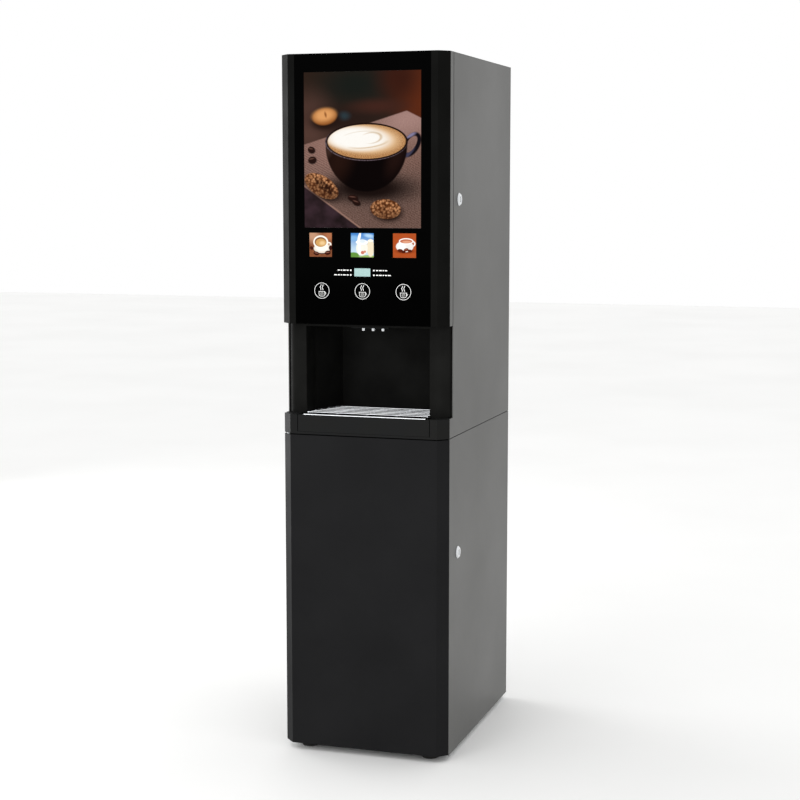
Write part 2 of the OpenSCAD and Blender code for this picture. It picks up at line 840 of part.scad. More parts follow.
module control_board() {
    z0 = z_seam + 170;
    y = y_in - 10;
    color([0.1, 0.32, 0.18]) union() {
        block([-120, y - 1.6, z0], [20, y, z0 + 110]);
        for (x = [-114, 14]) for (z = [z0 + 6, z0 + 104]) rod([x, y - 1, z], "y", 11, 3);
        block([-110, y - 16, z0 + 20], [-80, y - 1, z0 + 60]);
        block([-60, y - 10, z0 + 30], [-30, y - 1, z0 + 60]);
        for (k = [0:4]) rod([-10, y - 13, z0 + 14 + k * 20], "y", 12, 7);
    }
}

module power_supply() {
    z0 = z_seam + 2;
    color(zinc) difference() {
        block([20, -10, z0], [120, 150, z0 + 42]);
        for (y = [10:12:130]) block([19, y, z0 + 10], [22, y + 5, z0 + 32]);
        for (y = [10:12:130]) block([118, y, z0 + 10], [121, y + 5, z0 + 32]);
    }
}

fan_t = 25;

module fan_frame() {
    color(black) difference() {
        union() {
            difference() {
                block([fan_x - fan_s / 2, y_in - fan_t, fan_z - fan_s / 2],
                    [fan_x + fan_s / 2, y_in, fan_z + fan_s / 2]);
                rod([fan_x, y_in - fan_t - 1, fan_z], "y", fan_t + 2, fan_r + 1);
            }
            rod([fan_x, y_in - 3, fan_z], "y", 3, 16);
            for (a = [45:90:315]) translate([fan_x, 0, fan_z]) rotate([0, a, 0])
                block([12, y_in - 3, -2], [fan_r + 3, y_in, 2]);
        }
        rod([fan_x, y_in - 4, fan_z], "y", 5, 2.5 + run);
    }
}

module fan_rotor() {
    color(black) translate([fan_x, y_in - 20, fan_z]) union() {
        rod([0, 0, 0], "y", 15, 15);
        rod([0, 14, 0], "y", 5.5, 2.5);
        for (a = [0:360 / 7:359]) rotate([0, a, 0]) translate([13, 7.5, 0]) rotate([35, 0, 0])
            block([0, -8, -0.8], [22, 8, 0.8]);
    }
}

rocker_r = 7;

module power_inlet() {
    color(black) union() {
        difference() {
            union() {
                translate([inlet_x, y_in - 20, inlet_z]) rotate([-90, 0, 0])
                    linear_extrude(21) square(inlet_size, center = true);
                block([inlet_x - 24, y_back, inlet_z - 14], [inlet_x + 24, y_back + 1.8, inlet_z + 14]);
                block([inlet_x - 14, y_back - 2, inlet_z - 10], [inlet_x + 14, y_back + 1, inlet_z + 10]);
            }
            block([inlet_x - 11, y_back - 16, inlet_z - 7], [inlet_x + 11, y_back + 3, inlet_z + 7]);
        }
        for (x = [-6, 0, 6]) block([inlet_x + x - 1, y_back - 17, inlet_z - 2.5],
            [inlet_x + x + 1, y_back - 3, inlet_z + 2.5]);
        difference() {
            union() {
                block([switch_x - 11, y_in - 18, inlet_z - 15], [switch_x + 11, y_back + 1, inlet_z + 15]);
                block([switch_x - 14, y_back, inlet_z - 18], [switch_x + 14, y_back + 1.8, inlet_z + 18]);
            }
            block([switch_x - 9, y_back - 12, inlet_z - 13], [switch_x + 9, y_back + 3, inlet_z + 13]);
            rod([switch_x - 10.5, y_back - 5, inlet_z], "x", 21, 1.5 + run);
        }
    }
}

module switch_rocker() {
    color([0.7, 0.1, 0.08]) translate([switch_x, y_back - 5, inlet_z]) union() {
        rod([-10.3, 0, 0], "x", 20.6, 1.5);
        rotate([-7, 0, 0]) rotate([90, 0, 90]) translate([0, 0, -8.6]) linear_extrude(17.2)
            polygon([[-3, -5], [3, -5], [5.4, -11.6], [6.2, -11.6], [4.6, 0], [6.2, 11.6], [5.4, 11.6],
                [3, 5], [-3, 5]]);
    }
}

// ---- Base cabinet ----

module cabinet_side(side) {
    y0 = side > 0 ? y_skin + seam_gap : y_left_edge;
    x_in = side > 0 ? in_w : -hw;
    x_fl = side > 0 ? in_w - flange_w : -in_w - eps;
    color(grey) difference() {
        union() {
            block([x_in, y0, z_floor], [x_in + sheet_t, y_rear, z_seam - seam_gap]);
            block([x_fl, y0, z_floor + 22], [x_fl + flange_w + eps, y0 + sheet_t, z_seam - 22]);
        }
        if (side > 0) rod([in_w - 1, lock_y, cabinet_lock_z], "x", 5, lock_hole_r + run);
    }
}

module cabinet_left_side() cabinet_side(-1);
module cabinet_right_side() cabinet_side(1);

module cabinet_back() {
    color(grey) difference() {
        union() {
            block([-in_w, y_in, z_floor + sheet_t], [in_w, y_back, z_seam - sheet_t]);
            for (s = [-1, 1]) {
                x = s > 0 ? in_w - sheet_t : -in_w;
                block([x, y_in - 12, z_floor + 16], [x + sheet_t, y_in + eps, z_seam - 16]);
            }
        }
        louvres(0, 8, z_floor + 60, 10, 160);
        louvres(0, 8, z_seam - 140, 10, 160);
    }
}

y_deck = y_left_edge + 2;

module deck(z) {
    block([-in_w, y_deck, z], [in_w, y_back, z + sheet_t]);
}

module cabinet_top() {
    color(zinc) difference() {
        deck(z_seam - sheet_t);
        between_holes(z_seam - sheet_t);
    }
}

foot_in = 8.5;  // front feet behind the front edge of the floor
foot_places = [for (x = [-1, 1]) for (y = [y_deck + foot_in, y_rear - 40]) [x * (hw - 38), y]];
stud_r = 4;

module cabinet_floor() {
    color(zinc) difference() {
        union() {
            deck(z_floor);
            block([-in_w + 30, y_deck, z_floor], [in_w - 30, y_deck + sheet_t, z_floor + 12]);
        }
        for (p = foot_places) rod([p[0], p[1], z_floor - 1], "z", 5, stud_r + slip);
    }
}

lip = 14;

module cabinet_door() {
    z0 = z_cab_door[0];
    z1 = z_cab_door[1];
    t = skin_t;
    a = t * tan(22.5);
    ax = cab_axis;
    color(black) difference() {
        union() {
            difference() {
                translate([0, 0, z0]) linear_extrude(z1 - z0) polygon([
                    [-hw, y_skin], [-hw + corner_c, y_front], [hw - corner_c, y_front], [hw, y_skin]
                ]);
                translate([0, 0, z0 + t]) linear_extrude(z1 - z0 - 2 * t) polygon([
                    [-hw + t * 1.41 + t, y_skin - t], [-hw + corner_c + a, y_front + t],
                    [hw - corner_c - a, y_front + t], [hw - t * 1.41 - t, y_skin - t]
                ]);
                block([-hw + lip + 8, y_skin - t - 1, z0 + lip], [hw - lip, y_skin + 1, z1 - lip]);
            }
            for (z = [z0 + 0.5, z1 - 8.5]) translate([ax[0], ax[1], z]) cylinder(r = 4, h = 8);
            intersection() {
                keeper(door_keeper_x, y_skin - corner_c + t - 0.2, cabinet_lock_z);
                block([0, y_front + t + bond, 0], [hw, 0, z_seam]);
            }
        }
        for (z = [z0 - 1, z1 - 11]) translate([ax[0], ax[1], z]) cylinder(r = cab_pin_r + run, h = 12);
    }
}

jug_at = [-66, 50];
jug_size = [126, 220, 300];
jug_neck_r = 30;
corner = 11;

module rounded_plan(w, d, r) {
    square([w - 2 * r, d], center = true);
    square([w, d - 2 * r], center = true);
    for (x = [-1, 1]) for (y = [-1, 1]) translate([x * (w / 2 - r), y * (d / 2 - r)]) circle(r = r);
}

module water_jug() {
    s = jug_size;
    color([0.7, 0.8, 0.9]) translate([jug_at[0], jug_at[1], z_floor + sheet_t]) difference() {
        union() {
            linear_extrude(s[2]) rounded_plan(s[0], s[1], corner);
            translate([0, 0, s[2] - eps]) cylinder(r = jug_neck_r, h = 18);
        }
        translate([0, 0, 2.5]) linear_extrude(s[2] - 5) rounded_plan(s[0] - 5, s[1] - 5, corner - 2.5);
        translate([0, 0, s[2] - 4]) cylinder(r = jug_neck_r - 2.5, h = 30);
    }
}

module jug_cap() {
    z = z_floor + sheet_t + jug_size[2] + 18;
    color(black) translate([jug_at[0], jug_at[1], z]) difference() {
        union() {
            cylinder(r = jug_neck_r + 1, h = 4);
            translate([0, 0, -8]) cylinder(r = jug_neck_r - 2.5 - slip, h = 9);
        }
        translate([0, 0, -9]) cylinder(r = jug_neck_r - 6, h = 10);
        translate([0, 0, -1]) cylinder(r = 4, h = 6);
    }
}

bucket_at = [78, 60];
bucket_r = 56;
bucket_h = 240;

module waste_bucket() {
    color([0.35, 0.36, 0.38]) translate([bucket_at[0], bucket_at[1], z_floor + sheet_t]) difference() {
        union() {
            cylinder(r1 = bucket_r - 8, r2 = bucket_r, h = bucket_h, $fn = 72);
            translate([0, 0, bucket_h - 6]) cylinder(r = bucket_r + 4, h = 6, $fn = 72);
        }
        translate([0, 0, 3]) cylinder(r1 = bucket_r - 10.5, r2 = bucket_r - 2.5, h = bucket_h, $fn = 72);
    }
}

pump_x = 90;
pump_z = z_floor + 330;
pump_out = 60;

module water_pump() {
    y = y_in;
    z = pump_z;
    color(zinc) union() {
        block([pump_x - 26, y - 2, z - 30], [pump_x + 26, y, z + 30]);
        block([pump_x - 26, y - pump_out, z - 30], [pump_x + 26, y, z - 28]);
        translate([pump_x - 24, y - 32, z - 6]) rotate([0, 90, 0]) cylinder(r = 22.2, h = 30);
        translate([pump_x + 5, y - 32, z - 6]) rotate([0, 90, 0]) cylinder(r = 17, h = 24);
        for (d = [-8, 8]) translate([pump_x - 16, y - 32 + d, z + 10]) cylinder(r = 4, h = 18);
    }
}

module feet() {
    color(black) for (p = foot_places) translate([p[0], p[1], 0]) union() {
        cylinder(r1 = foot_r - 1, r2 = foot_r, h = 2);
        translate([0, 0, 2]) cylinder(r = foot_r, h = foot_h - 2);
        translate([0, 0, foot_h - 1]) cylinder(r = stud_r, h = 9);
    }
}

module joining_bolts() {
    color(chrome) for (p = bolt_places) translate([p[0], p[1], 0]) {
        translate([0, 0, z_seam + 2]) cylinder(r = 5.5, h = 4);
        translate([0, 0, z_seam - 9]) cylinder(r = bolt_r, h = 11.5);
        translate([0, 0, z_seam - sheet_t - 5]) cylinder(r = 6, h = 5, $fn = 6);
    }
}

upper_left_side();
upper_right_side();
upper_top();
upper_back();
upper_base();
motor_plate();
canister_shelf();
cup_station();
tray_housing();
drip_tray();
wire_rack();
nozzle_block();
nozzles();
door_pan();
door_front();
front_panel();
poster();
drink_pictures();
display();
light_panel();
touch_board();
hinge_plates();
hinge_pins();
lock_bodies();
door_lock_plug();
cabinet_lock_plug();
left_canister();
middle_canister();
right_canister();
canister_lids();
left_auger();
middle_auger();
right_auger();
auger_motors();
mixing_bowls();
left_whisk();
middle_whisk();
right_whisk();
whisk_motors();
water_tank();
water_valves();
drink_hoses();
control_board();
power_supply();
fan_frame();
fan_rotor();
power_inlet();
switch_rocker();
cabinet_left_side();
cabinet_right_side();
cabinet_back();
cabinet_top();
cabinet_floor();
cabinet_door();
water_jug();
jug_cap();
waste_bucket();
water_pump();
feet();
joining_bolts();
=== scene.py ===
"""Finishes, printed art and small fittings of a hot-drink vending machine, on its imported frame."""
import math

import bmesh
import bpy
from bpy.props import (
    FloatProperty,
    FloatVectorProperty,
    IntProperty,
    PointerProperty,
    StringProperty,
)
from mathutils import Matrix, Vector


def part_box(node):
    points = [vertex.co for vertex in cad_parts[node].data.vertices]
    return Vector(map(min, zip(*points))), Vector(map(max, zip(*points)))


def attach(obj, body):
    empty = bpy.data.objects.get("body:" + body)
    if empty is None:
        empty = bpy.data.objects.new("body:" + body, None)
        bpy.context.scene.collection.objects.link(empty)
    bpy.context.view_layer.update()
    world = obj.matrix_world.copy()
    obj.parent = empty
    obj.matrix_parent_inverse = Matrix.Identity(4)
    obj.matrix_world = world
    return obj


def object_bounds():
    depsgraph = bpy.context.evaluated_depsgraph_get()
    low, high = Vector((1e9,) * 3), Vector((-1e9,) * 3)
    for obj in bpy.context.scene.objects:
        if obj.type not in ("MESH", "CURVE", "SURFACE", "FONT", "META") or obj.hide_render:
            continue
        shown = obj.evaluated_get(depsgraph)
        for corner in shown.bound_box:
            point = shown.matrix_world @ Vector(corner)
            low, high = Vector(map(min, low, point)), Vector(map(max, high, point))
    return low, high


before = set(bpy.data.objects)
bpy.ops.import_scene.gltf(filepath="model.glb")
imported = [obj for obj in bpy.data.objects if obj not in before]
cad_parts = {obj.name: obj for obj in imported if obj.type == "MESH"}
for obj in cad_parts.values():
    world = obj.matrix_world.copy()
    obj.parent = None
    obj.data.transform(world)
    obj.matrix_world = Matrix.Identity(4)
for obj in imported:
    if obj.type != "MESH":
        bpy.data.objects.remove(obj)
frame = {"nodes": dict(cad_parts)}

bl_info = {
    "name": "Drink Vending Machine",
    "version": (1, 0, 0),
    "blender": (4, 5, 0),
    "location": "3D View > Sidebar > Vending",
    "description": "Builds the finishes, printed art and fittings of a hot-drink vending machine",
    "category": "Object",
}

MM = 0.001
START_LO, START_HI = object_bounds()
NODES = frame["nodes"]
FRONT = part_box("front_panel")[0].y
POSTER_LO, POSTER_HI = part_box("poster")
PICTURES_LO, PICTURES_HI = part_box("drink_pictures")
DISPLAY_LO, DISPLAY_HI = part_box("display")
POSTER_MID = (POSTER_LO + POSTER_HI) / 2
PICTURE_MID = (PICTURES_LO + PICTURES_HI) / 2
PICTURE_SIZE = PICTURES_HI.z - PICTURES_LO.z
PITCH = (PICTURES_HI.x - PICTURES_LO.x - PICTURE_SIZE) / 2
DISPLAY_Z = (DISPLAY_LO.z + DISPLAY_HI.z) / 2

# How far the middle of the touch keys is below the display's
KEYS_DOWN = 32 * MM

# Label marks: where a row starts beside the display, its height from the display's middle with
# its number of bars, its square's side and the gap after it, and the bars' height, shortest
# length, step between lengths and gap
LABEL_START = 19.5 * MM
LABEL_ROWS = ((3.5 * MM, 4), (-4.5 * MM, 5))
LABEL_SQUARE = 2.4 * MM
LABEL_SQUARE_GAP = 2.6 * MM
LABEL_TALL = 1.6 * MM
LABEL_SHORT = 2.6 * MM
LABEL_STEP = 1.2 * MM
LABEL_GAP = 1.5 * MM

# Corner of the tray housing, and the seal under it, whose deep black is partly painted shade for
# that gap: set in, depth, height over the door, and the rounding of its edges
CORNER = 17 * MM
SEAL_IN = 1.6 * MM
SEAL_DEPTH = 26 * MM
SEAL_CLEAR = 0.4 * MM
SEAL_EDGE = 0.2 * MM

# Play between a seal and its neighbour, and the gasket between the cases, whose deep black is partly
# painted shade for the seam: set in from the side, width there, thickness on the back, lap over the
# lower back sheet, and rounding of its edges
PLAY = 0.1 * MM
GASKET_IN = 0.3 * MM
GASKET_WIDE = 1.1 * MM
GASKET_THICK = 0.6 * MM
GASKET_LAP = 0.9 * MM
GASKET_EDGE = 0.15 * MM

# Screws of the back sheets: distance from the sheet's edges, radius, and height of the head
SCREW_IN = 7 * MM
SCREW_RADIUS = 3.4 * MM
SCREW_HIGH = 1.6 * MM

# Powder and water as shares of their containers' height, and half the middle canister's bay
POWDER_FILL = 0.62
WATER_FILL = 0.6
BAY_HALF = 47 * MM

# Half the side of the floor in metres
FLOOR_REACH = 12.0


def paint(code):
    """Linear RGBA from an sRGB hex code."""
    out = []
    for place in (1, 3, 5):
        part = int(code[place : place + 2], 16) / 255
        out.append(part / 12.92 if part <= 0.04045 else ((part + 0.055) / 1.055) ** 2.4)
    return (*out, 1.0)


# ---- Node helpers ----


def node(tree, kind, settings=None, links=None):
    """Adds a node with its properties, and its inputs as values or as sockets to link."""
    made = tree.nodes.new(kind)
    for key, value in (settings or {}).items():
        setattr(made, key, value)
    for key, value in (links or {}).items():
        if isinstance(value, bpy.types.NodeSocket):
            tree.links.new(value, made.inputs[key])
        else:
            made.inputs[key].default_value = value
    return made


def start_finish(name, colour, rough, **sockets):
    """A material with its shader's plain values set: gives it, its tree, shader and coordinates."""
    made = bpy.data.materials.new(name)
    made.use_nodes = True
    tree = made.node_tree
    tree.nodes.clear()
    shader = node(
        tree, "ShaderNodeBsdfPrincipled", None, {"Base Color": paint(colour), "Roughness": rough}
    )
    for key, value in sockets.items():
        shader.inputs[key.replace("_", " ")].default_value = value
    node(tree, "ShaderNodeOutputMaterial", None, {"Surface": shader.outputs[0]})
    coords = node(tree, "ShaderNodeTexCoord").outputs["Object"]
    made.diffuse_color = paint(colour)
    return made, tree, shader, coords


def grain(tree, coords, size_mm, low, high, stretch=(1, 1, 1), detail=2.0):
    """Noise with blobs of a real size, as values between low and high."""
    turned = node(tree, "ShaderNodeMapping", None, {"Vector": coords, "Scale": stretch})
    noise = node(
        tree,
        "ShaderNodeTexNoise",
        None,
        {"Vector": turned.outputs[0], "Scale": 1 / (size_mm * MM), "Detail": detail},
    )
    span = {0: noise.outputs[0], 1: 0.3, 2: 0.7, 3: low, 4: high}
    return node(tree, "ShaderNodeMapRange", None, span).outputs[0]


def blend(tree, mask, under, over):
    """Colour over laid on colour under where the mask is 1."""
    made = node(tree, "ShaderNodeMix", {"data_type": "RGBA"}, {0: mask, 6: under, 7: over})
    return made.outputs[2]


def past(tree, value, line, soft):
    """Mask of where a value is past a line, or short of it if the softness is negative."""
    span = {0: value, 1: line - soft, 2: line + soft}
    return node(tree, "ShaderNodeMapRange", None, span).outputs[0]


def relief(tree, coords, shader, size_mm, depth_mm, edge_mm=0.0):
    """Fine surface relief, and an edge radius that catches the light if one is given."""
    height = grain(tree, coords, size_mm, 0.0, 1.0)
    shape = {"Height": height, "Distance": depth_mm * MM, "Strength": 1.0}
    bump = node(tree, "ShaderNodeBump", None, shape)
    if edge_mm:
        edge = node(tree, "ShaderNodeBevel", {"samples": 4}, {"Radius": edge_mm * MM})
        tree.links.new(edge.outputs[0], bump.inputs["Normal"])
    tree.links.new(bump.outputs[0], shader.inputs["Normal"])


def varied(tree, coords, shader, colour, deeper, size_mm, rough_low, rough_high, stretch=(1, 1, 1)):
    """A colour that drifts to a deeper one and a roughness that drifts with it."""
    drift = grain(tree, coords, size_mm, 0.0, 1.0, stretch, 4.0)
    tree.links.new(blend(tree, drift, paint(colour), paint(deeper)), shader.inputs["Base Color"])
    spread = node(tree, "ShaderNodeMapRange", None, {0: drift, 3: rough_low, 4: rough_high})
    tree.links.new(spread.outputs[0], shader.inputs["Roughness"])


# ---- Finishes ----


def powder_coat_grey(hues):
    """Polyester powder coat, sprayed and stoved: satin, with an even orange peel."""
    made, tree, shader, coords = start_finish(
        "powder_coat_grey", "#5B5B59", 0.42, Specular_IOR_Level=0.3
    )
    varied(tree, coords, shader, hues.steel, hues.steel_deep, 240, 0.38, 0.44)
    # Orange peel of about 1.6 mm, as coarse as it needs to show
    relief(tree, coords, shader, 1.6, 0.012, 0.9)
    return made


def powder_coat_black(hues):
    """Fine black powder coat on steel: soft, even sheen with a slight peel."""
    made, tree, shader, coords = start_finish(
        "powder_coat_black", "#161616", 0.45, Specular_IOR_Level=0.04
    )
    varied(tree, coords, shader, hues.black, hues.black_deep, 120, 0.42, 0.5)
    relief(tree, coords, shader, 1.4, 0.012, 0.9)
    return made


def moulded_abs_black(name, colour, deeper, gloss):
    """Injection-moulded ABS with a fine spark-eroded grain: black, with little gloss."""
    made, tree, shader, coords = start_finish(name, colour, 0.45, Specular_IOR_Level=gloss)
    varied(tree, coords, shader, colour, deeper, 60, 0.4, 0.5)
    # Spark grain of 0.8 mm
    relief(tree, coords, shader, 0.8, 0.008, 0.7)
    return made


def cast_acrylic_black(hues):
    """Cast acrylic, back-painted: deep black with a hard gloss and faint wipe marks."""
    made, tree, shader, coords = start_finish(
        "cast_acrylic_black", hues.panel, 0.08, Specular_IOR_Level=0.003
    )
    haze = grain(tree, coords, 40, 0.06, 0.14, (1, 1, 0.3), 3.0)
    tree.links.new(haze, shader.inputs["Roughness"])
    return made


def plated_zinc():
    """Zinc-plated sheet: cool grey metal with soft spangles of about 12 mm."""
    made, tree, shader, coords = start_finish("plated_zinc", "#B4B7BA", 0.4, Metallic=1.0)
    cells = node(tree, "ShaderNodeTexVoronoi", None, {"Vector": coords, "Scale": 1 / (12 * MM)})
    tone = node(
        tree, "ShaderNodeMapRange", None, {0: cells.outputs["Color"], 3: 0.0, 4: 1.0}
    ).outputs[0]
    tree.links.new(
        blend(tree, tone, paint("#A9ADB1"), paint("#C3C6C8")), shader.inputs["Base Color"]
    )
    spread = node(tree, "ShaderNodeMapRange", None, {0: tone, 3: 0.34, 4: 0.46})
    tree.links.new(spread.outputs[0], shader.inputs["Roughness"])
    return made


def chrome_plate():
    """Bright chrome over polished wire: mirror-like, with faint drawing lines along it."""
    made, tree, shader, coords = start_finish("chrome_plate", "#DCDEE0", 0.14, Metallic=1.0)
    varied(tree, coords, shader, "#E2E4E6", "#CDD0D3", 18, 0.1, 0.2, (0.2, 1, 1))
    return made


def plated_screw():
    """Zinc-plated steel screw: bright, faintly blue, with a slightly rough head."""
    made, tree, shader, coords = start_finish("plated_screw", "#C2C6CA", 0.28, Metallic=1.0)
    varied(tree, coords, shader, "#C8CCD0", "#A9AEB4", 2, 0.22, 0.36)
    return made


def brushed_stainless():
    """Stainless steel tank, brushed along its height: bright, with long fine scratches."""
    made, tree, shader, coords = start_finish("brushed_stainless", "#C6C8CA", 0.3, Metallic=1.0)
    # Scratches 1.2 mm apart, as coarse as they need to show
    varied(tree, coords, shader, "#CCCED0", "#B2B5B8", 1.2, 0.24, 0.38, (0.03, 0.03, 1))
    return made


def moulded_polypropylene():
    """Moulded food-grade polypropylene: milky white, slightly waxy, and light passes into it."""
    made, tree, shader, coords = start_finish(
        "moulded_polypropylene", "#E4E3DC", 0.4, Subsurface_Weight=0.12, Subsurface_Scale=0.004
    )
    varied(tree, coords, shader, "#E8E7E1", "#D8D6CC", 25, 0.34, 0.46)
    relief(tree, coords, shader, 1.5, 0.006)
    return made


def smoked_canister():
    """Moulded translucent canister: the powder inside shows as a warmer band up to its top."""
    made, tree, shader, coords = start_finish(
        "smoked_canister", "#C9C4B6", 0.32, Specular_IOR_Level=0.45
    )
    lo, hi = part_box("middle_canister")
    parts = node(tree, "ShaderNodeSeparateXYZ", None, {0: coords})
    # The powder's top waves by about 6 mm over 70 mm
    wave = grain(tree, coords, 70, -6 * MM, 6 * MM, (1, 1, 0.05))
    level = node(tree, "ShaderNodeMath", {"operation": "ADD"}, {0: parts.outputs[2], 1: wave})
    line = lo.z + POWDER_FILL * (hi.z - lo.z)
    filled = past(tree, level.outputs[0], line, -4 * MM)
    # Coffee, milk and cocoa from left to right
    powder = paint("#4A2E1C")
    for edge, hue in ((-BAY_HALF, "#D9CFB8"), (BAY_HALF, "#6B4330")):
        powder = blend(tree, past(tree, parts.outputs[0], edge, MM), powder, paint(hue))
    speckle = grain(tree, coords, 1.4, 0.0, 0.25, (1, 1, 1), 3.0)
    powder = blend(tree, speckle, powder, paint("#2A1A10"))
    tree.links.new(blend(tree, filled, paint("#CFCBC0"), powder), shader.inputs["Base Color"])
    relief(tree, coords, shader, 2.5, 0.006)
    return made


def silicone_hose():
    """Extruded food-grade silicone: soft, milky and slightly dusty."""
    made, tree, shader, coords = start_finish(
        "silicone_hose", "#D6D4CC", 0.45, Subsurface_Weight=0.2, Subsurface_Scale=0.003
    )
    varied(tree, coords, shader, "#DCDAD2", "#C6C2B6", 9, 0.38, 0.5)
    return made


def solder_mask():
    """Glass-epoxy board under green solder mask: paler copper runs of 1 mm show through it."""
    made, tree, shader, coords = start_finish("solder_mask", "#155A30", 0.25, Coat_Weight=0.3)
    turned = node(
        tree, "ShaderNodeMapping", None, {"Vector": coords, "Rotation": (0, math.radians(45), 0)}
    )
    cells = node(
        tree,
        "ShaderNodeTexVoronoi",
        {"distance": "CHEBYCHEV", "feature": "F1"},
        {"Vector": turned.outputs[0], "Scale": 1 / (7 * MM)},
    )
    wave = node(
        tree, "ShaderNodeMath", {"operation": "PINGPONG"}, {0: cells.outputs[0], 1: 0.14}
    ).outputs[0]
    runs = node(tree, "ShaderNodeMapRange", None, {0: wave, 1: 0.06, 2: 0.09}).outputs[0]
    tree.links.new(
        blend(tree, runs, paint("#0F4A27"), paint("#1C6B3B")), shader.inputs["Base Color"]
    )
    return made


def lamp_diffuser():
    """Opal acrylic light guide with its lamps off: even milk white."""
    made, tree, shader, coords = start_finish(
        "lamp_diffuser", "#EDEDE8", 0.3, Subsurface_Weight=0.1
    )
    varied(tree, coords, shader, "#F0F0EC", "#E2E2DC", 60, 0.24, 0.36)
    return made


def liquid_crystal_window(hues):
    """Reflective liquid-crystal window: pale cyan with rows of unlit cells 1.7 mm apart, and a
    painted glow.
    """
    made, tree, shader, coords = start_finish(
        "liquid_crystal_window", hues.display, 0.2, Coat_Weight=0.2
    )
    facing = {"Vector": coords, "Rotation": (math.radians(-90), 0, 0)}
    turned = node(tree, "ShaderNodeMapping", None, facing)
    cells = node(
        tree,
        "ShaderNodeTexBrick",
        {"offset": 0.0},
        {
            "Vector": turned.outputs[0],
            "Color1": paint(hues.display),
            "Color2": paint("#8BAFAC"),
            "Mortar": paint("#9FC0BD"),
            "Scale": 1 / (1.7 * MM),
            "Brick Width": 1.0,
            "Row Height": 1.0,
            "Mortar Size": 0.08,
        },
    )
    tree.links.new(cells.outputs[0], shader.inputs["Base Color"])
    tree.links.new(cells.outputs[0], shader.inputs["Emission Color"])
    # Painted glow: a faint emission from the cells, though no lamp lights the window
    shader.inputs["Emission Strength"].default_value = 0.06
    return made


def gloss_rocker():
    """Red polycarbonate rocker: glossy, a little deeper towards its worn ends."""
    made, tree, shader, coords = start_finish("gloss_rocker", "#A4131A", 0.18)
    varied(tree, coords, shader, "#B0161D", "#7E0D12", 8, 0.14, 0.26)
    return made


def blown_polyethylene():
    """Blow-moulded polyethylene jug: bluish and translucent, tinted deeper below its water line."""
    made, tree, shader, coords = start_finish(
        "blown_polyethylene", "#A9BCD0", 0.35, Subsurface_Weight=0.15, Subsurface_Scale=0.01
    )
    lo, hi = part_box("water_jug")
    parts = node(tree, "ShaderNodeSeparateXYZ", None, {0: coords})
    wet = past(tree, parts.outputs[2], lo.z + WATER_FILL * (hi.z - lo.z), -MM)
    cloud = grain(tree, coords, 55, 0.0, 0.35)
    dry = blend(tree, cloud, paint("#B9C9DA"), paint("#A3B6CB"))
    tree.links.new(blend(tree, wet, dry, paint("#8CA6C4")), shader.inputs["Base Color"])
    relief(tree, coords, shader, 6, 0.03)
    return made


def moulded_hdpe():
    """Moulded charcoal polyethylene pail: dull and slightly scuffed."""
    made, tree, shader, coords = start_finish("moulded_hdpe", "#35373A", 0.55)
    varied(tree, coords, shader, "#3A3C3F", "#2A2C2F", 30, 0.48, 0.64)
    relief(tree, coords, shader, 1.5, 0.01)
    return made


def moulded_rubber():
    """Moulded black rubber: dry and dull, with dust in its pores."""
    made, tree, shader, coords = start_finish(
        "moulded_rubber", "#1A1A1A", 0.8, Specular_IOR_Level=0.3
    )
    varied(tree, coords, shader, "#1C1C1B", "#2B2A28", 4, 0.72, 0.9)
    relief(tree, coords, shader, 1.0, 0.02)
    return made


def foam_seal_and_shade():
    """Closed-cell neoprene foam: matt black with no sheen, partly painted shade, with pores of about
    1 mm.
    """
    # Painted shade: deep black with no sheen at all, where the foam fills gaps between parts
    made, tree, shader, coords = start_finish("foam_seal_and_shade", "#040404", 0.95, Specular_IOR_Level=0.0)
    varied(tree, coords, shader, "#050505", "#020202", 1, 0.9, 1.0)
    return made


def painted_floor():
    """Matt white paint on a smooth floor: pale and even, with a slow drift in its tone."""
    made, tree, shader, coords = start_finish(
        "painted_floor", "#F8F8F7", 0.6, Specular_IOR_Level=0.2
    )
    varied(tree, coords, shader, "#FAFAF9", "#F6F6F5", 800, 0.55, 0.65)
    return made


# ---- Printed art ----


def spot(tree, coords, mid, reach, turn=0.0, soft=0.05):
    """Mask of an ellipse on the door, 1 inside it: its middle and reach are mm in the art."""
    placed = node(
        tree,
        "ShaderNodeMapping",
        {"vector_type": "TEXTURE"},
        {
            "Vector": coords,
            "Location": (mid[0] * MM, 0, mid[1] * MM),
            "Rotation": (0, math.radians(turn), 0),
            "Scale": (reach[0] * MM, 1, reach[1] * MM),
        },
    )
    away = node(tree, "ShaderNodeVectorMath", {"operation": "LENGTH"}, {0: placed.outputs[0]})
    span = {0: away.outputs["Value"], 1: 1 + soft, 2: 1 - soft, 3: 0.0, 4: 1.0}
    return node(tree, "ShaderNodeMapRange", {"interpolation_type": "SMOOTHSTEP"}, span).outputs[0]


def below(tree, coords, mid, turn, soft_mm=1.2):
    """Mask of everything below a line through a point, the line turned up by so many degrees."""
    placed = node(
        tree,
        "ShaderNodeMapping",
        {"vector_type": "TEXTURE"},
        {
            "Vector": coords,
            "Location": (mid[0] * MM, 0, mid[1] * MM),
            "Rotation": (0, math.radians(-turn), 0),
        },
    )
    height = node(tree, "ShaderNodeSeparateXYZ", None, {0: placed.outputs[0]}).outputs[2]
    span = {0: height, 1: soft_mm * MM, 2: -soft_mm * MM}
    return node(tree, "ShaderNodeMapRange", {"interpolation_type": "SMOOTHSTEP"}, span).outputs[0]


def both(tree, first, second):
    """Where two masks overlap, or a mask made weaker by a number."""
    return node(tree, "ShaderNodeMath", {"operation": "MULTIPLY"}, {0: first, 1: second}).outputs[0]


def without(tree, first, second):
    """The first mask less the second."""
    clamp = {"operation": "SUBTRACT", "use_clamp": True}
    return node(tree, "ShaderNodeMath", clamp, {0: first, 1: second}).outputs[0]


def art_coords(tree, coords, mid):
    """Object coordinates moved so that the art's middle is their zero."""
    shift = {"Vector": coords, "Location": (-mid[0], -mid[1], -mid[2])}
    return node(tree, "ShaderNodeMapping", None, shift).outputs[0]


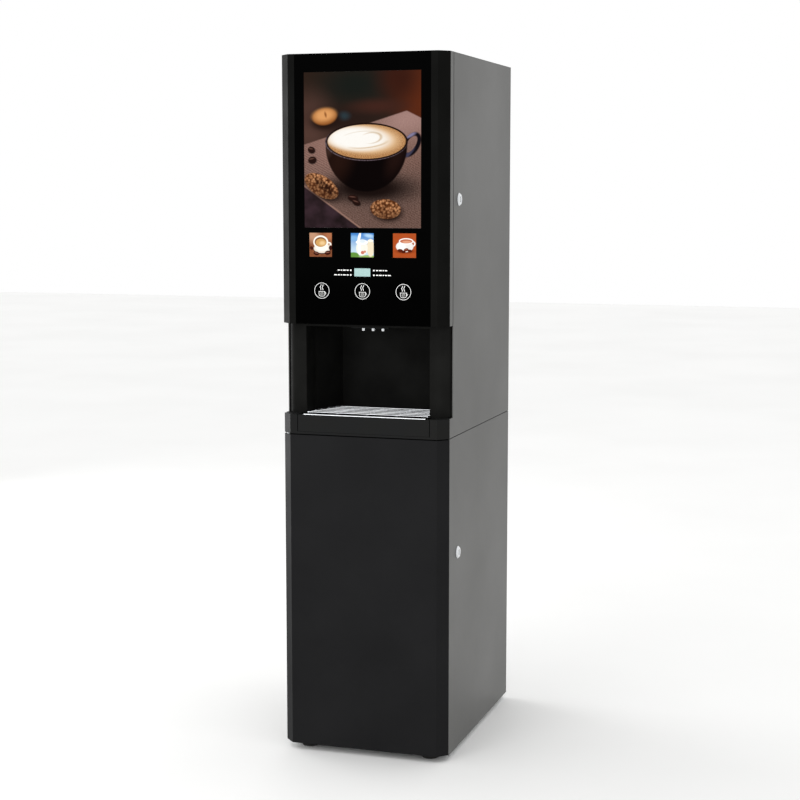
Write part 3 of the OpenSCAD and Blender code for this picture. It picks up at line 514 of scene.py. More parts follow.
def film_print(name):
    """Ink-jet print under clear film, as the poster and the drink pictures have."""
    return start_finish(name, "#5A4035", 0.3, Specular_IOR_Level=0.004)


def crumbs(tree, at):
    """Baked crumb: lumps of about 4 mm with dark cracks between them."""
    cells = node(
        tree, "ShaderNodeTexVoronoi", None, {"Vector": at, "Scale": 1 / (4 * MM), "Randomness": 1.0}
    )
    lump = node(
        tree, "ShaderNodeMapRange", None, {0: cells.outputs[0], 1: 0.25, 2: 0.72}
    ).outputs[0]
    colour = blend(tree, lump, paint("#CF9466"), paint("#32170A"))
    return blend(tree, grain(tree, at, 6, 0.0, 0.7), colour, paint("#6E3D1E"))


def poster_print():
    """Generic cup of coffee with foam on a cloth, with biscuits and beans, printed on film."""
    made, tree, shader, coords = film_print("poster_print")
    at = art_coords(tree, coords, (POSTER_MID.x, FRONT, POSTER_MID.z))
    # Blurred room behind the cup
    ground = layered(tree, at, paint("#2A1D17"), (
        ((-75, 112), (60, 30), 0, 0.9, "#2A1C15"),
        ((-14, 108), (64, 36), 0, 0.9, "#151815"),
        ((100, 90), (34, 72), 0, 0.9, "#522412"),
        ((66, 118), (30, 34), 0, 0.9, "#33170F"),
        ((-96, 42), (36, 44), 0, 0.9, "#4C352E"),
        ((-30, 52), (60, 18), 0, 0.9, "#231713"),
        ((-32, 57), (9, 6), 0, 0.9, "#263238"),
        ((30, 72), (40, 10), 0, 0.9, "#3A2019"),
    ))
    # Dark table at the lower left
    table = blend(tree, grain(tree, at, 22, 0.0, 1.0), paint("#33242A"), paint("#1B1314"))
    ground = blend(tree, below(tree, at, (-104, -40), -35, 8), ground, table)
    # Cloth, whose ribs of about 2 mm are drawn 3.6 mm apart so that they show
    cloth = layered(tree, at, paint("#664A41"), (
        ((84, 44), (46, 34), 0, 0.9, "#92716B"),
        ((-62, -8), (56, 34), 0, 0.9, "#7E5B52"),
        ((96, -30), (40, 50), 0, 0.9, "#62443B"),
        ((40, -120), (90, 44), 0, 0.9, "#4E342C"),
        ((20, -66), (92, 26), 0, 0.9, "#281915"),
    ))
    turned = node(
        tree, "ShaderNodeMapping", None, {"Vector": at, "Rotation": (0, math.radians(-28), 0)}
    )
    ribs = node(
        tree,
        "ShaderNodeTexWave",
        {"bands_direction": "Z"},
        {
            "Vector": turned.outputs[0],
            "Scale": math.tau / 20 / (3.6 * MM),
            "Distortion": 3.0,
            "Detail": 2.0,
        },
    ).outputs[0]
    rib = node(tree, "ShaderNodeMapRange", None, {0: ribs, 3: 0.0, 4: 0.62}).outputs[0]
    far = spot(tree, at, (30, 60), (130, 70), 0, 0.5)
    cloth = blend(tree, without(tree, rib, far), cloth, paint("#2C1B16"))
    cloth = blend(tree, grain(tree, at, 2.4, 0.0, 0.26, (1, 1, 1.6), 3.0), cloth, paint("#B79A8E"))
    laid = both(tree, below(tree, at, (-104, 9.5), 16.6), below(tree, at, (79, 64), -26))
    laid = without(tree, laid, below(tree, at, (-104, -61.5), -35))
    art = blend(tree, laid, ground, cloth)
    edge = without(tree, below(tree, at, (-104, -58.5), -35), below(tree, at, (-104, -61.5), -35))
    art = blend(tree, both(tree, edge, laid), art, paint("#8A6A5E"))
    # Whole biscuit, soft with distance
    art = layered(tree, at, art, (
        ((-64, 50), (25, 15), -8, 0.4, "#20130F"),
        ((-66.5, 56), (21.4, 13.6), -8, 0.14, "#8A5327"),
        ((-67.5, 58.5), (18, 10), -8, 0.55, "#CC9058"),
        ((-65, 59.5), (1.8, 4.6), -14, 0.7, "#8A562C"),
    ))
    # Cup: shadow, handle, body, sheen and rim
    art = blend(tree, spot(tree, at, (12, -64), (74, 22), 0, 0.6), art, paint("#150C0A"))
    ring = spot(tree, at, (87, 8), (14, 23), 34, 0.08)
    ring = without(tree, ring, spot(tree, at, (86.5, 8.5), (7.5, 16), 34, 0.1))
    art = blend(tree, ring, art, paint("#0E0A10"))
    for mid, reach, turn, hue in (
        ((82, 24), (13, 4.5), -20, "#77718E"),
        ((80, -8), (16, 4), -44, "#3A384C"),
    ):
        art = blend(tree, both(tree, ring, spot(tree, at, mid, reach, turn, 0.4)), art, paint(hue))
    body = both(
        tree, spot(tree, at, (7.5, 8.5), (72.4, 78), 0, 0.02), below(tree, at, (0, 16), 0, 2)
    )
    art = blend(tree, body, art, paint("#070303"))
    for mid, reach, soft, hue in (
        ((-42, -18), (20, 34), 0.9, "#20100B"),
        ((60, -14), (12, 26), 0.9, "#1C0E0B"),
        ((-58, 2), (6, 14), 0.9, "#35231E"),
    ):
        art = blend(tree, both(tree, body, spot(tree, at, mid, reach, 24, soft)), art, paint(hue))
    rim = spot(tree, at, (7.5, 13.4), (73.4, 31.6), 0, 0.012)
    art = blend(tree, rim, art, paint("#1A0C0A"))
    glint = without(tree, rim, spot(tree, at, (8.6, 14.6), (72.8, 31.5), 0, 0.02))
    worn = both(tree, glint, grain(tree, at, 3, 0.1, 1.0))
    art = blend(tree, worn, art, paint("#6A5C63"))
    # Coffee: tan crema with fine bubbles, white foam and its swirl
    bubbles = grain(tree, at, 1.8, 0.0, 1.0, (1, 1, 1.6), 4.0)
    crema = blend(tree, bubbles, paint("#CC9B66"), paint("#70401F"))
    coffee = spot(tree, at, (8.0, 13.8), (69.0, 28.4), 0, 0.02)
    art = blend(tree, coffee, art, crema)
    for mid, reach, soft, hue in (
        ((2, 17.6), (63, 23.5), 0.22, "#CFAA80"),
        ((-5, 18.4), (57, 20.5), 0.2, "#DDCCB8"),
        ((-9, 19), (50, 17.5), 0.3, "#E8E5E0"),
    ):
        art = blend(tree, both(tree, coffee, spot(tree, at, mid, reach, 3, soft)), art, paint(hue))
    for mid, reach, inner_mid, inner, hue in (
        ((17, 20), (19, 9.5), (14.4, 19.4), (17.6, 8.4), "#C4AE92"),
        ((10, 11), (36, 8), (8, 12.6), (37, 8.2), "#C6AC8A"),
        ((-4, 24), (30, 7), (-5, 23), (30, 7), "#CFC2B0"),
    ):
        swirl = spot(tree, at, mid, reach, -6, 0.14)
        swirl = without(tree, swirl, spot(tree, at, inner_mid, inner, -6, 0.14))
        art = blend(tree, both(tree, swirl, coffee), art, paint(hue))
    # Crumbly biscuits and their shadows
    crumb = crumbs(tree, at)
    for mid, reach, turn in (((-73, -60), (33, 17), 29), ((41.6, -98.5), (26.8, 16.2), 4)):
        shade = spot(tree, at, (mid[0] + 3, mid[1] - 5), reach, turn, 0.35)
        art = blend(tree, shade, art, paint("#1C110E"))
        shape = spot(tree, at, mid, reach, turn, 0.05)
        art = blend(tree, shape, art, crumb)
        low = both(tree, shape, below(tree, at, (mid[0], mid[1] - 3), -turn, 10))
        art = blend(tree, both(tree, low, 0.6), art, paint("#3A1F12"))
    crack = both(tree, spot(tree, at, (-66, -62), (24, 6.5), 34, 0.5), grain(tree, at, 6, 0.2, 1.4))
    art = blend(tree, crack, art, paint("#26120A"))
    # Coffee beans
    for mid, reach, turn in (
        ((-91, 1), (6.4, 5.2), 10),
        ((-89.5, -16), (7.4, 5.6), -12),
        ((-16.5, -80), (9.0, 5.2), 6),
        ((-10.5, -87.5), (7.4, 4.6), 18),
    ):
        art = layered(tree, at, art, (
            ((mid[0] + 1, mid[1] - 1.5), reach, turn, 0.3, "#0E0706"),
            (mid, reach, turn, 0.1, "#1F0F0C"),
            ((mid[0] - 1, mid[1] + 1.8), (reach[0] * 0.6, 1.0), turn, 0.6, "#54382F"),
        ))
    tree.links.new(art, shader.inputs["Base Color"])
    haze = grain(tree, coords, 50, 0.24, 0.34)
    tree.links.new(haze, shader.inputs["Roughness"])
    return made


def drink_print():
    """Generic drinks printed on film: a cup seen from above, a glass of milk, a cup of beans."""
    made, tree, shader, coords = film_print("drink_print")
    parts = node(tree, "ShaderNodeSeparateXYZ", None, {0: coords})
    arts = []
    for place in (-1, 0, 1):
        at = art_coords(tree, coords, (PICTURE_MID.x + place * PITCH, FRONT, PICTURE_MID.z))
        arts.append((cup_from_above, milk_glass, bean_cup)[place + 1](tree, at))
    art = arts[0]
    for edge, over in ((-PITCH / 2, arts[1]), (PITCH / 2, arts[2])):
        art = blend(tree, past(tree, parts.outputs[0], PICTURE_MID.x + edge, MM), art, over)
    tree.links.new(art, shader.inputs["Base Color"])
    haze = grain(tree, coords, 15, 0.22, 0.32)
    tree.links.new(haze, shader.inputs["Roughness"])
    return made


def layered(tree, at, ground, layers):
    """Ellipses laid on a ground in order, each as middle, reach, turn, softness and colour."""
    art = ground
    for mid, reach, turn, soft, hue in layers:
        art = blend(tree, spot(tree, at, mid, reach, turn, soft), art, paint(hue))
    return art


def cup_from_above(tree, at):
    """White cup and saucer on brown cloth with beans."""
    cloth = blend(tree, grain(tree, at, 5, 0.0, 0.6, (1, 1, 2)), paint("#8A5234"), paint("#5E3220"))
    return layered(tree, at, cloth, (
        ((-14, 15), (12, 10), 20, 0.8, "#B98D70"),
        ((16, 16), (10, 8), -20, 0.8, "#A86A48"),
        ((2.3, -7.5), (15.5, 8.2), 0, 0.06, "#3C1E14"),
        ((2.3, -6.2), (15, 7.8), 0, 0.05, "#DED3C6"),
        ((2.3, -5.4), (11.5, 5.4), 0, 0.2, "#F3EDE4"),
        ((15.2, 1), (4.4, 4), 20, 0.1, "#EFE8DE"),
        ((14.6, 1), (2.2, 2), 20, 0.2, "#B5937A"),
        ((0.2, 4.6), (13.6, 11.4), 0, 0.04, "#F2ECE2"),
        ((-0.1, 4.8), (10.8, 8.3), 0, 0.05, "#7A4A28"),
        ((0.6, 3.8), (9.6, 6.9), 0, 0.1, "#C89A5C"),
        ((3.0, 3.0), (4.8, 3.4), 0, 0.6, "#E2C08C"),
        ((-8, -14.6), (5.2, 3.2), 10, 0.12, "#35130E"),
        ((12.8, -13.4), (5.4, 3.6), -10, 0.12, "#35130E"),
        ((-16.4, -5.6), (3.6, 2.8), 30, 0.12, "#401A12"),
        ((17.8, -4.8), (3.0, 4.2), 0, 0.12, "#35130E"),
        ((-8, -14), (3.4, 0.5), 10, 0.5, "#A26A55"),
        ((12.8, -12.8), (3.6, 0.5), -10, 0.5, "#A26A55"),
    ))


def milk_glass(tree, at):
    """Milk poured into a glass against a blue sky."""
    sky = blend(tree, below(tree, at, (0, 4), 0, 18), paint("#3C7CC2"), paint("#BFD6E6"))
    return layered(tree, at, sky, (
        ((-15, 12), (9, 4), 0, 0.7, "#7FB0DD"),
        ((12, 16), (8, 3), 10, 0.7, "#A9CBE8"),
        ((-15.8, -19), (12, 7), 0, 0.15, "#5E8B3A"),
        ((10, -20), (16, 3.4), 0, 0.3, "#8FAE5C"),
        ((14.8, -4.5), (6.4, 15), 0, 0.1, "#E5D8BC"),
        ((14.8, 7.6), (5.2, 2.2), 0, 0.2, "#F4EEDF"),
        ((-5.4, 13), (2.4, 9.5), 14, 0.15, "#F7F6F0"),
        ((-0.6, -5), (10.4, 12.5), 0, 0.06, "#E9E7DC"),
        ((-0.6, 5), (10.8, 4.2), 0, 0.08, "#FBFAF6"),
        ((0.4, 6.6), (5.4, 3.2), 0, 0.3, "#D8E2E8"),
        ((-5, -6), (2.0, 9.0), 0, 0.6, "#FFFFFF"),
        ((0.6, -12.4), (3.2, 2.8), 0, 0.15, "#C4705C"),
        ((4.6, -10.8), (2.2, 2.0), 0, 0.15, "#D08A6C"),
    ))


def bean_cup(tree, at):
    """White cup with beans on a plain rust ground."""
    rust = blend(tree, grain(tree, at, 12, 0.0, 0.5), paint("#AC4D23"), paint("#9E441D"))
    return layered(tree, at, rust, (
        ((1, -9.5), (15, 3.6), 0, 0.5, "#7A3014"),
        ((15.2, 3.0), (4.2, 4.6), 10, 0.1, "#EDE8E4"),
        ((14.8, 3.0), (2.2, 2.6), 10, 0.15, "#AC5A36"),
        ((0.3, -1.6), (15.4, 9.4), 0, 0.05, "#E4DFDB"),
        ((-5, -1.5), (6, 6), 0, 0.7, "#F7F4F1"),
        ((3.0, 7.4), (12.8, 5.0), 0, 0.05, "#F4F0ED"),
        ((3.0, 7.2), (10.8, 3.5), 0, 0.06, "#B9694A"),
        ((4.0, 6.2), (7.6, 2.0), 0, 0.3, "#D79A7C"),
        ((-7, -8.6), (5.0, 2.8), 12, 0.12, "#571F10"),
        ((3, -7.0), (4.2, 2.6), -14, 0.12, "#6B2A18"),
        ((9.4, -8.8), (4.0, 2.4), 8, 0.12, "#571F10"),
        ((-1.6, -10.4), (3.6, 2.2), 0, 0.12, "#4A190C"),
        ((3, -6.6), (2.6, 0.4), -14, 0.5, "#B5725A"),
    ))


def screen_print_white():
    """Screen-printed white ink: dense and matt, a touch thinner in places."""
    made, tree, shader, coords = start_finish(
        "screen_print_white", "#F0F0EE", 0.5, Specular_IOR_Level=0.2
    )
    varied(tree, coords, shader, "#F6F6F4", "#E4E4E2", 3, 0.45, 0.6)
    # Painted glow: a faint white emission makes the ink read brighter, standing in for backlight
    shader.inputs["Emission Color"].default_value = paint("#FFFFFF")
    shader.inputs["Emission Strength"].default_value = 0.35
    return made


def screen_print_grey():
    """Screen-printed grey ink for the small marks in the cups."""
    made, tree, shader, coords = start_finish(
        "screen_print_grey", "#8A8A88", 0.5, Specular_IOR_Level=0.2
    )
    varied(tree, coords, shader, "#969694", "#7A7A78", 3, 0.45, 0.6)
    return made


# ---- Mesh helpers ----


def new_piece(name, bm, body, materials):
    """Turns a finished bmesh into a piece that rides on a body."""
    mesh = bpy.data.meshes.new(name)
    bm.to_mesh(mesh)
    bm.free()
    for material in materials:
        mesh.materials.append(material)
    piece = bpy.data.objects.new(name, mesh)
    bpy.context.scene.collection.objects.link(piece)
    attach(piece, body)


def nib(bm, mid, width, heading):
    """A short edge across the heading, in the plane of the door: a pen's nib."""
    across = Vector((-math.sin(heading), 0, math.cos(heading))) * (width / 2)
    ends = [bm.verts.new(mid + across), bm.verts.new(mid - across)]
    return bm.edges.new(ends)


def pen_run(bm, edge, heading, length):
    """Drags the nib straight on and returns it at its new place."""
    out = bmesh.ops.extrude_edge_only(bm, edges=[edge])["geom"]
    verts = [g for g in out if isinstance(g, bmesh.types.BMVert)]
    step = Vector((math.cos(heading), 0, math.sin(heading))) * length
    bmesh.ops.translate(bm, verts=verts, vec=step)
    return next(g for g in out if isinstance(g, bmesh.types.BMEdge) and set(g.verts) == set(verts))


def pen_turn(bm, edge, heading, radius, degrees, steps):
    """Drags the nib round an arc, left for positive degrees, and returns it and its heading."""
    mid = (edge.verts[0].co + edge.verts[1].co) / 2
    side = math.copysign(1, degrees)
    pivot = mid + Vector((-math.sin(heading), 0, math.cos(heading))) * radius * side
    out = bmesh.ops.spin(
        bm,
        geom=[edge, *edge.verts],
        cent=pivot,
        axis=Vector((0, -1, 0)),
        angle=math.radians(degrees),
        steps=steps,
    )["geom_last"]
    last = next(g for g in out if isinstance(g, bmesh.types.BMEdge))
    return last, heading + math.radians(degrees)


def thicken(bm, depth, index=0):
    """Gives flat print its small thickness towards the viewer, with faces pointing out."""
    bmesh.ops.remove_doubles(bm, verts=bm.verts, dist=1e-6)
    out = bmesh.ops.extrude_face_region(bm, geom=list(bm.faces), use_keep_orig=True)["geom"]
    verts = [g for g in out if isinstance(g, bmesh.types.BMVert)]
    bmesh.ops.translate(bm, verts=verts, vec=Vector((0, -depth, 0)))
    bmesh.ops.recalc_face_normals(bm, faces=bm.faces)
    for face in bm.faces:
        face.material_index = index


def join(parts):
    """One bmesh of several, each freed."""
    whole = bmesh.new()
    for part in parts:
        mesh = bpy.data.meshes.new("part")
        part.to_mesh(mesh)
        part.free()
        whole.from_mesh(mesh)
        bpy.data.meshes.remove(mesh)
    return whole


def key_mark(mid, marks):
    """One touch key: a ring, an outlined cup with a grey bean in it and two wisps of steam."""
    radius, line = marks.ring_radius, marks.line
    white = bmesh.new()
    edge = nib(white, mid + Vector((radius, 0, 0)), line, math.radians(90))
    pen_turn(white, edge, math.radians(90), radius, 360, 48)
    # Cup: down its left side, round the bottom and up its right side, then its brim
    wide, deep, bend = radius * 0.4, radius * 0.6, radius * 0.24
    start = mid + Vector((-wide, 0, -radius * 0.12))
    heading = math.radians(-90)
    edge = nib(white, start, line, heading)
    edge = pen_run(white, edge, heading, deep - bend)
    edge, heading = pen_turn(white, edge, heading, bend, 90, 5)
    edge = pen_run(white, edge, heading, 2 * (wide - bend))
    edge, heading = pen_turn(white, edge, heading, bend, 90, 5)
    pen_run(white, edge, heading, deep - bend)
    edge = nib(white, start + Vector((-line, 0, 0)), line, 0)
    pen_run(white, edge, 0, 2 * wide + 2 * line)
    # Handle
    edge = nib(white, mid + Vector((wide, 0, -radius * 0.22)), line, 0)
    pen_turn(white, edge, 0, radius * 0.13, -180, 8)
    # Steam
    for x in (-radius * 0.16, radius * 0.12):
        heading = math.radians(62)
        edge = nib(white, mid + Vector((x, 0, radius * 0.06)), line * 1.3, heading)
        edge, heading = pen_turn(white, edge, heading, radius * 0.22, 66, 6)
        edge, heading = pen_turn(white, edge, heading, radius * 0.22, -80, 6)
        pen_turn(white, edge, heading, radius * 0.26, 50, 4)
    thicken(white, marks.depth)
    # Bean: two half discs with a gap between them
    grey = bmesh.new()
    bean = radius * 0.12
    for turn in (115, -65):
        heading = math.radians(turn)
        along = Vector((math.cos(heading), 0, math.sin(heading)))
        side = Vector((-along.z, 0, along.x))
        hub = mid + Vector((0, 0, -radius * 0.4)) + side * line * 0.4
        edge = nib(grey, hub + along * bean, bean * 1.8, heading + math.pi / 2)
        pen_turn(grey, edge, heading + math.pi / 2, bean, 180, 8)
    thicken(grey, marks.depth, 1)
    return [white, grey]


def bar_mark(lo, hi, depth):
    """A flat printed bar between two corners on the door."""
    bm = bmesh.new()
    size = hi - lo
    place = Matrix.Translation((lo + hi) / 2 + Vector((0, -depth / 2, 0)))
    shape = Matrix.Diagonal((size.x, depth, size.z, 1))
    bmesh.ops.create_cube(bm, size=1.0, matrix=place @ shape)
    return bm


def round_edges(bm, edges, offset):
    """Rounds edges over two segments."""
    bmesh.ops.bevel(
        bm, geom=edges, offset=offset, segments=2, profile=0.5, affect="EDGES", material=-1
    )


def socket_screw(bm, mid, radius, high):
    """A button-head screw with a round socket, standing out from the back."""
    turn = Matrix.Rotation(math.radians(-90), 4, "X")
    place = Matrix.Translation(mid + Vector((0, high / 2, 0))) @ turn
    made = bmesh.ops.create_cone(
        bm,
        cap_ends=True,
        segments=20,
        radius1=radius,
        radius2=radius * 0.86,
        depth=high,
        matrix=place,
    )
    faces = {f for v in made["verts"] for f in v.link_faces}
    top = max(faces, key=lambda f: f.calc_center_median().y)
    round_edges(bm, list(top.edges), high * 0.3)
    near = [f for f in bm.faces if (f.calc_center_median() - mid).length < radius]
    top = max(near, key=lambda f: f.calc_center_median().y)
    bmesh.ops.inset_individual(bm, faces=[top], thickness=radius * 0.35)
    pushed = bmesh.ops.extrude_discrete_faces(bm, faces=[top])["faces"]
    bmesh.ops.translate(bm, verts=pushed[0].verts, vec=Vector((0, -high * 0.6, 0)))


def soft_bar(bm, lo, hi, edge):
    """A bar between two corners with its edges rounded."""
    size = hi - lo
    shape = Matrix.Diagonal((size.x, size.y, size.z, 1))
    made = bmesh.ops.create_cube(bm, size=1.0, matrix=Matrix.Translation((lo + hi) / 2) @ shape)
    edges = list({e for v in made["verts"] for e in v.link_edges})
    round_edges(bm, edges, edge)


def seal_plate(outline, low, high, edge):
    """A flat plate of an outline seen from above, with its edges rounded."""
    bm = bmesh.new()
    face = bm.faces.new([bm.verts.new((x, y, low)) for x, y in outline])
    out = bmesh.ops.extrude_face_region(bm, geom=[face], use_keep_orig=True)["geom"]
    verts = [g for g in out if isinstance(g, bmesh.types.BMVert)]
    bmesh.ops.translate(bm, verts=verts, vec=Vector((0, 0, high - low)))
    bmesh.ops.recalc_face_normals(bm, faces=bm.faces)
    round_edges(bm, list(bm.edges), edge)
    return bm


# ---- Settings ----


class VENDING_finishes(bpy.types.PropertyGroup):
    """Colours of the coats, the mouldings, the panel and the display"""

    steel: StringProperty(
        name="Steel", description="Grey powder coat, as sRGB hex", default="#525250"
    )
    steel_deep: StringProperty(
        name="Deep steel", description="Its deeper tone, as sRGB hex", default="#4C4C4A"
    )
    black: StringProperty(
        name="Black coat", description="Cabinet door, as sRGB hex", default="#1E1E1F"
    )
    black_deep: StringProperty(
        name="Deep black", description="Its deeper tone, as sRGB hex", default="#1A1A1B"
    )
    moulding: StringProperty(
        name="Moulding", description="Cup station, as sRGB hex", default="#1B1B1A"
    )
    tray: StringProperty(
        name="Tray", description="Drip tray and its housing, as sRGB hex", default="#191A1B"
    )
    frame: StringProperty(
        name="Frame", description="Moulded frame of the upper door, as sRGB hex", default="#121211"
    )
    frame_deep: StringProperty(
        name="Deep frame", description="Its deeper tone, as sRGB hex", default="#0E0E0D"
    )
    panel: StringProperty(
        name="Panel", description="Gloss front panel, as sRGB hex", default="#020202"
    )
    display: StringProperty(
        name="Display", description="Display window, as sRGB hex", default="#93B6B3"
    )


class VENDING_marks(bpy.types.PropertyGroup):
    """Sizes of the printed marks and the number of back screws"""

    ring_radius: FloatProperty(
        name="Ring radius",
        description="Radius of a touch key's ring",
        default=0.0132,
        unit="LENGTH",
    )
    line: FloatProperty(
        name="Line", description="Width of the printed lines", default=0.00066, unit="LENGTH"
    )
    pitch: FloatProperty(
        name="Pitch", description="Spacing of the touch keys", default=0.0732, unit="LENGTH"
    )
    depth: FloatProperty(
        name="Depth", description="Thickness of the ink", default=0.00012, unit="LENGTH"
    )
    screws: IntProperty(
        name="Screws", description="Screws along each side of a back sheet", default=4, min=2
    )


class VENDING_stage(bpy.types.PropertyGroup):
    """Camera, surround and lights"""

    camera_place: FloatVectorProperty(
        name="Camera",
        description="Where the camera stands",
        default=(0.949, -2.940, 0.981),
        subtype="TRANSLATION",
    )
    camera_turn: FloatVectorProperty(
        name="Turn",
        description="How the camera is turned",
        default=(math.radians(83.06), 0.0, math.radians(17.9)),
        subtype="EULER",
    )
    lens: FloatProperty(
        name="Lens", description="Focal length on a 36 mm sensor", default=76.6, unit="CAMERA"
    )
    world: FloatProperty(name="World", description="Strength of the white surround", default=1.0)
    key: FloatProperty(
        name="Key", description="Power of the soft front light", default=26.0, unit="POWER"
    )
    rim: FloatProperty(
        name="Rim", description="Power of the soft left light", default=34.0, unit="POWER"
    )


# ---- Operators ----

FINISHED = {
    "grey_coat": "upper_left_side upper_right_side upper_top upper_back door_pan "
    "cabinet_left_side cabinet_right_side cabinet_back",
    "black_coat": "cabinet_door",
    "moulding": "tray_housing drip_tray nozzle_block fan_frame fan_rotor power_inlet "
    "canister_lids jug_cap",
    "zinc": "upper_base motor_plate canister_shelf hinge_plates cabinet_top cabinet_floor "
    "auger_motors whisk_motors power_supply water_pump",
    "chrome": "wire_rack nozzles hinge_pins lock_bodies door_lock_plug cabinet_lock_plug "
    "joining_bolts",
    "polypropylene": "left_auger middle_auger right_auger left_whisk middle_whisk right_whisk "
    "water_valves mixing_bowls",
    "canister": "left_canister middle_canister right_canister",
    "board": "touch_board control_board",
}


def finish_nodes(names, material):
    """Gives CAD nodes a finish in place of the plain colour that they came with."""
    for name in names.split():
        for slot in NODES[name].material_slots:
            slot.material = material


class VENDING_OT_sheets(bpy.types.Operator):
    """Coats the outer sheets and the cabinet door"""

    bl_idname = "vending.sheets"
    bl_label = "Coat sheets and door"

    def execute(self, context):
        hues = context.scene.vending_finishes
        finish_nodes(FINISHED["grey_coat"], powder_coat_grey(hues))
        finish_nodes(FINISHED["black_coat"], powder_coat_black(hues))
        return {"FINISHED"}


class VENDING_OT_mouldings(bpy.types.Operator):
    """Finishes the moulded plastic and rubber parts"""

    bl_idname = "vending.mouldings"
    bl_label = "Finish mouldings"

    def execute(self, context):
        hues = context.scene.vending_finishes
        finish_nodes(
            FINISHED["moulding"],
            moulded_abs_black("moulded_abs_tray", hues.tray, hues.moulding, 0.06),
        )
        finish_nodes(
            "door_front", moulded_abs_black("moulded_abs_door", hues.frame, hues.frame_deep, 0.02)
        )
        finish_nodes(
            "cup_station", moulded_abs_black("moulded_abs_station", hues.moulding, hues.frame, 0.02)
        )
        finish_nodes(FINISHED["polypropylene"], moulded_polypropylene())
        finish_nodes(FINISHED["canister"], smoked_canister())
        finish_nodes("drink_hoses", silicone_hose())
        finish_nodes("water_jug", blown_polyethylene())
        finish_nodes("waste_bucket", moulded_hdpe())
        finish_nodes("feet", moulded_rubber())
        finish_nodes("light_panel", lamp_diffuser())
        finish_nodes("switch_rocker", gloss_rocker())
        return {"FINISHED"}


class VENDING_OT_metals(bpy.types.Operator):
    """Finishes the plated and stainless metal parts and the circuit boards"""

    bl_idname = "vending.metals"
    bl_label = "Finish metals and boards"

    def execute(self, context):
        finish_nodes(FINISHED["zinc"], plated_zinc())
        finish_nodes(FINISHED["chrome"], chrome_plate())
        finish_nodes("water_tank", brushed_stainless())
        finish_nodes(FINISHED["board"], solder_mask())
        return {"FINISHED"}


class VENDING_OT_front_art(bpy.types.Operator):
    """Finishes the gloss front panel with its poster, drink pictures and display"""

    bl_idname = "vending.front_art"
    bl_label = "Finish front panel"

    def execute(self, context):
        hues = context.scene.vending_finishes
        finish_nodes("front_panel", cast_acrylic_black(hues))
        finish_nodes("poster", poster_print())
        finish_nodes("drink_pictures", drink_print())
        finish_nodes("display", liquid_crystal_window(hues))
        return {"FINISHED"}


class VENDING_OT_key_marks(bpy.types.Operator):
    """Prints a ring, a cup and steam over each touch key"""

    bl_idname = "vending.key_marks"
    bl_label = "Print key marks"

    def execute(self, context):
        marks = context.scene.vending_marks
        parts = []
        for place in (-1, 0, 1):
            parts += key_mark(Vector((place * marks.pitch, FRONT, DISPLAY_Z - KEYS_DOWN)), marks)
        new_piece(
            "key_marks",
            join(parts),
            "upper_door",
            [screen_print_white(), screen_print_grey()],
        )
        return {"FINISHED"}


class VENDING_OT_label_marks(bpy.types.Operator):
    """Prints short rows of plain marks beside the display, each with its square"""

    bl_idname = "vending.label_marks"
    bl_label = "Print label marks"

    def execute(self, context):
        marks = context.scene.vending_marks
        parts = []
        for side in (-1, 1):
            for row, count in LABEL_ROWS:
                mid = DISPLAY_Z + row
                at = LABEL_START
                for place in range(count + 1):
                    wide, tall, gap = LABEL_SQUARE, LABEL_SQUARE, LABEL_SQUARE_GAP
                    if place:
                        wide, tall, gap = LABEL_SHORT + LABEL_STEP * (
                            place % 3
                        ), LABEL_TALL, LABEL_GAP
                    ends = sorted((side * at, side * (at + wide)))
                    lo = Vector((ends[0], FRONT, mid - tall / 2))
                    hi = Vector((ends[1], FRONT, mid + tall / 2))
                    parts.append(bar_mark(lo, hi, marks.depth))
                    at += wide + gap
        new_piece(
            "label_marks",
            join(parts),
            "upper_door",
            [bpy.data.materials["screen_print_white"]],
        )
        return {"FINISHED"}


class VENDING_OT_seam_seal(bpy.types.Operator):
    """Lays the dark seal under the tray housing, over the cabinet door: partly painted shade"""

    bl_idname = "vending.seam_seal"
    bl_label = "Lay seam seal"

    def execute(self, context):
        lo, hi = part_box("tray_housing")
        wide = hi.x - SEAL_IN
        front = lo.y + SEAL_IN
        back = lo.y + SEAL_DEPTH
        outline = [
            (-wide, front + CORNER),
            (-wide + CORNER, front),
            (wide - CORNER, front),
            (wide, front + CORNER),
            (wide, back),
            (-wide, back),
        ]
        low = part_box("cabinet_door")[1].z + SEAL_CLEAR
        bm = seal_plate(outline, low, lo.z - PLAY, SEAL_EDGE)
        # Painted shade: the seal's deep black darkens the gap under the tray housing
        new_piece("seam_seal", bm, "case", [foam_seal_and_shade()])
        return {"FINISHED"}


class VENDING_OT_joint_gasket(bpy.types.Operator):
    """Lays the dark gasket between the two cases, along both sides and the back: partly painted
    shade
    """

    bl_idname = "vending.joint_gasket"
    bl_label = "Lay joint gasket"

    def execute(self, context):
        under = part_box("cabinet_right_side")[1]
        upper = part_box("upper_right_side")[0]
        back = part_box("upper_back")[1]
        low = under.z + PLAY
        high = upper.z - PLAY
        bm = bmesh.new()
        for side in (-1, 1):
            outer = under.x - GASKET_IN
            ends = sorted((side * (outer - GASKET_WIDE), side * outer))
            lo = Vector((ends[0], START_LO.y + SEAL_DEPTH, low))
            hi = Vector((ends[1], back.y, high))
            soft_bar(bm, lo, hi, GASKET_EDGE)
        lo = Vector((-back.x, back.y + PLAY, low - GASKET_LAP))
        hi = Vector((back.x, back.y + PLAY + GASKET_THICK, high))
        soft_bar(bm, lo, hi, GASKET_EDGE)
        # Painted shade: the gasket's deep black darkens the seam between the cases
        new_piece("joint_gasket", bm, "case", [bpy.data.materials["foam_seal_and_shade"]])
        return {"FINISHED"}


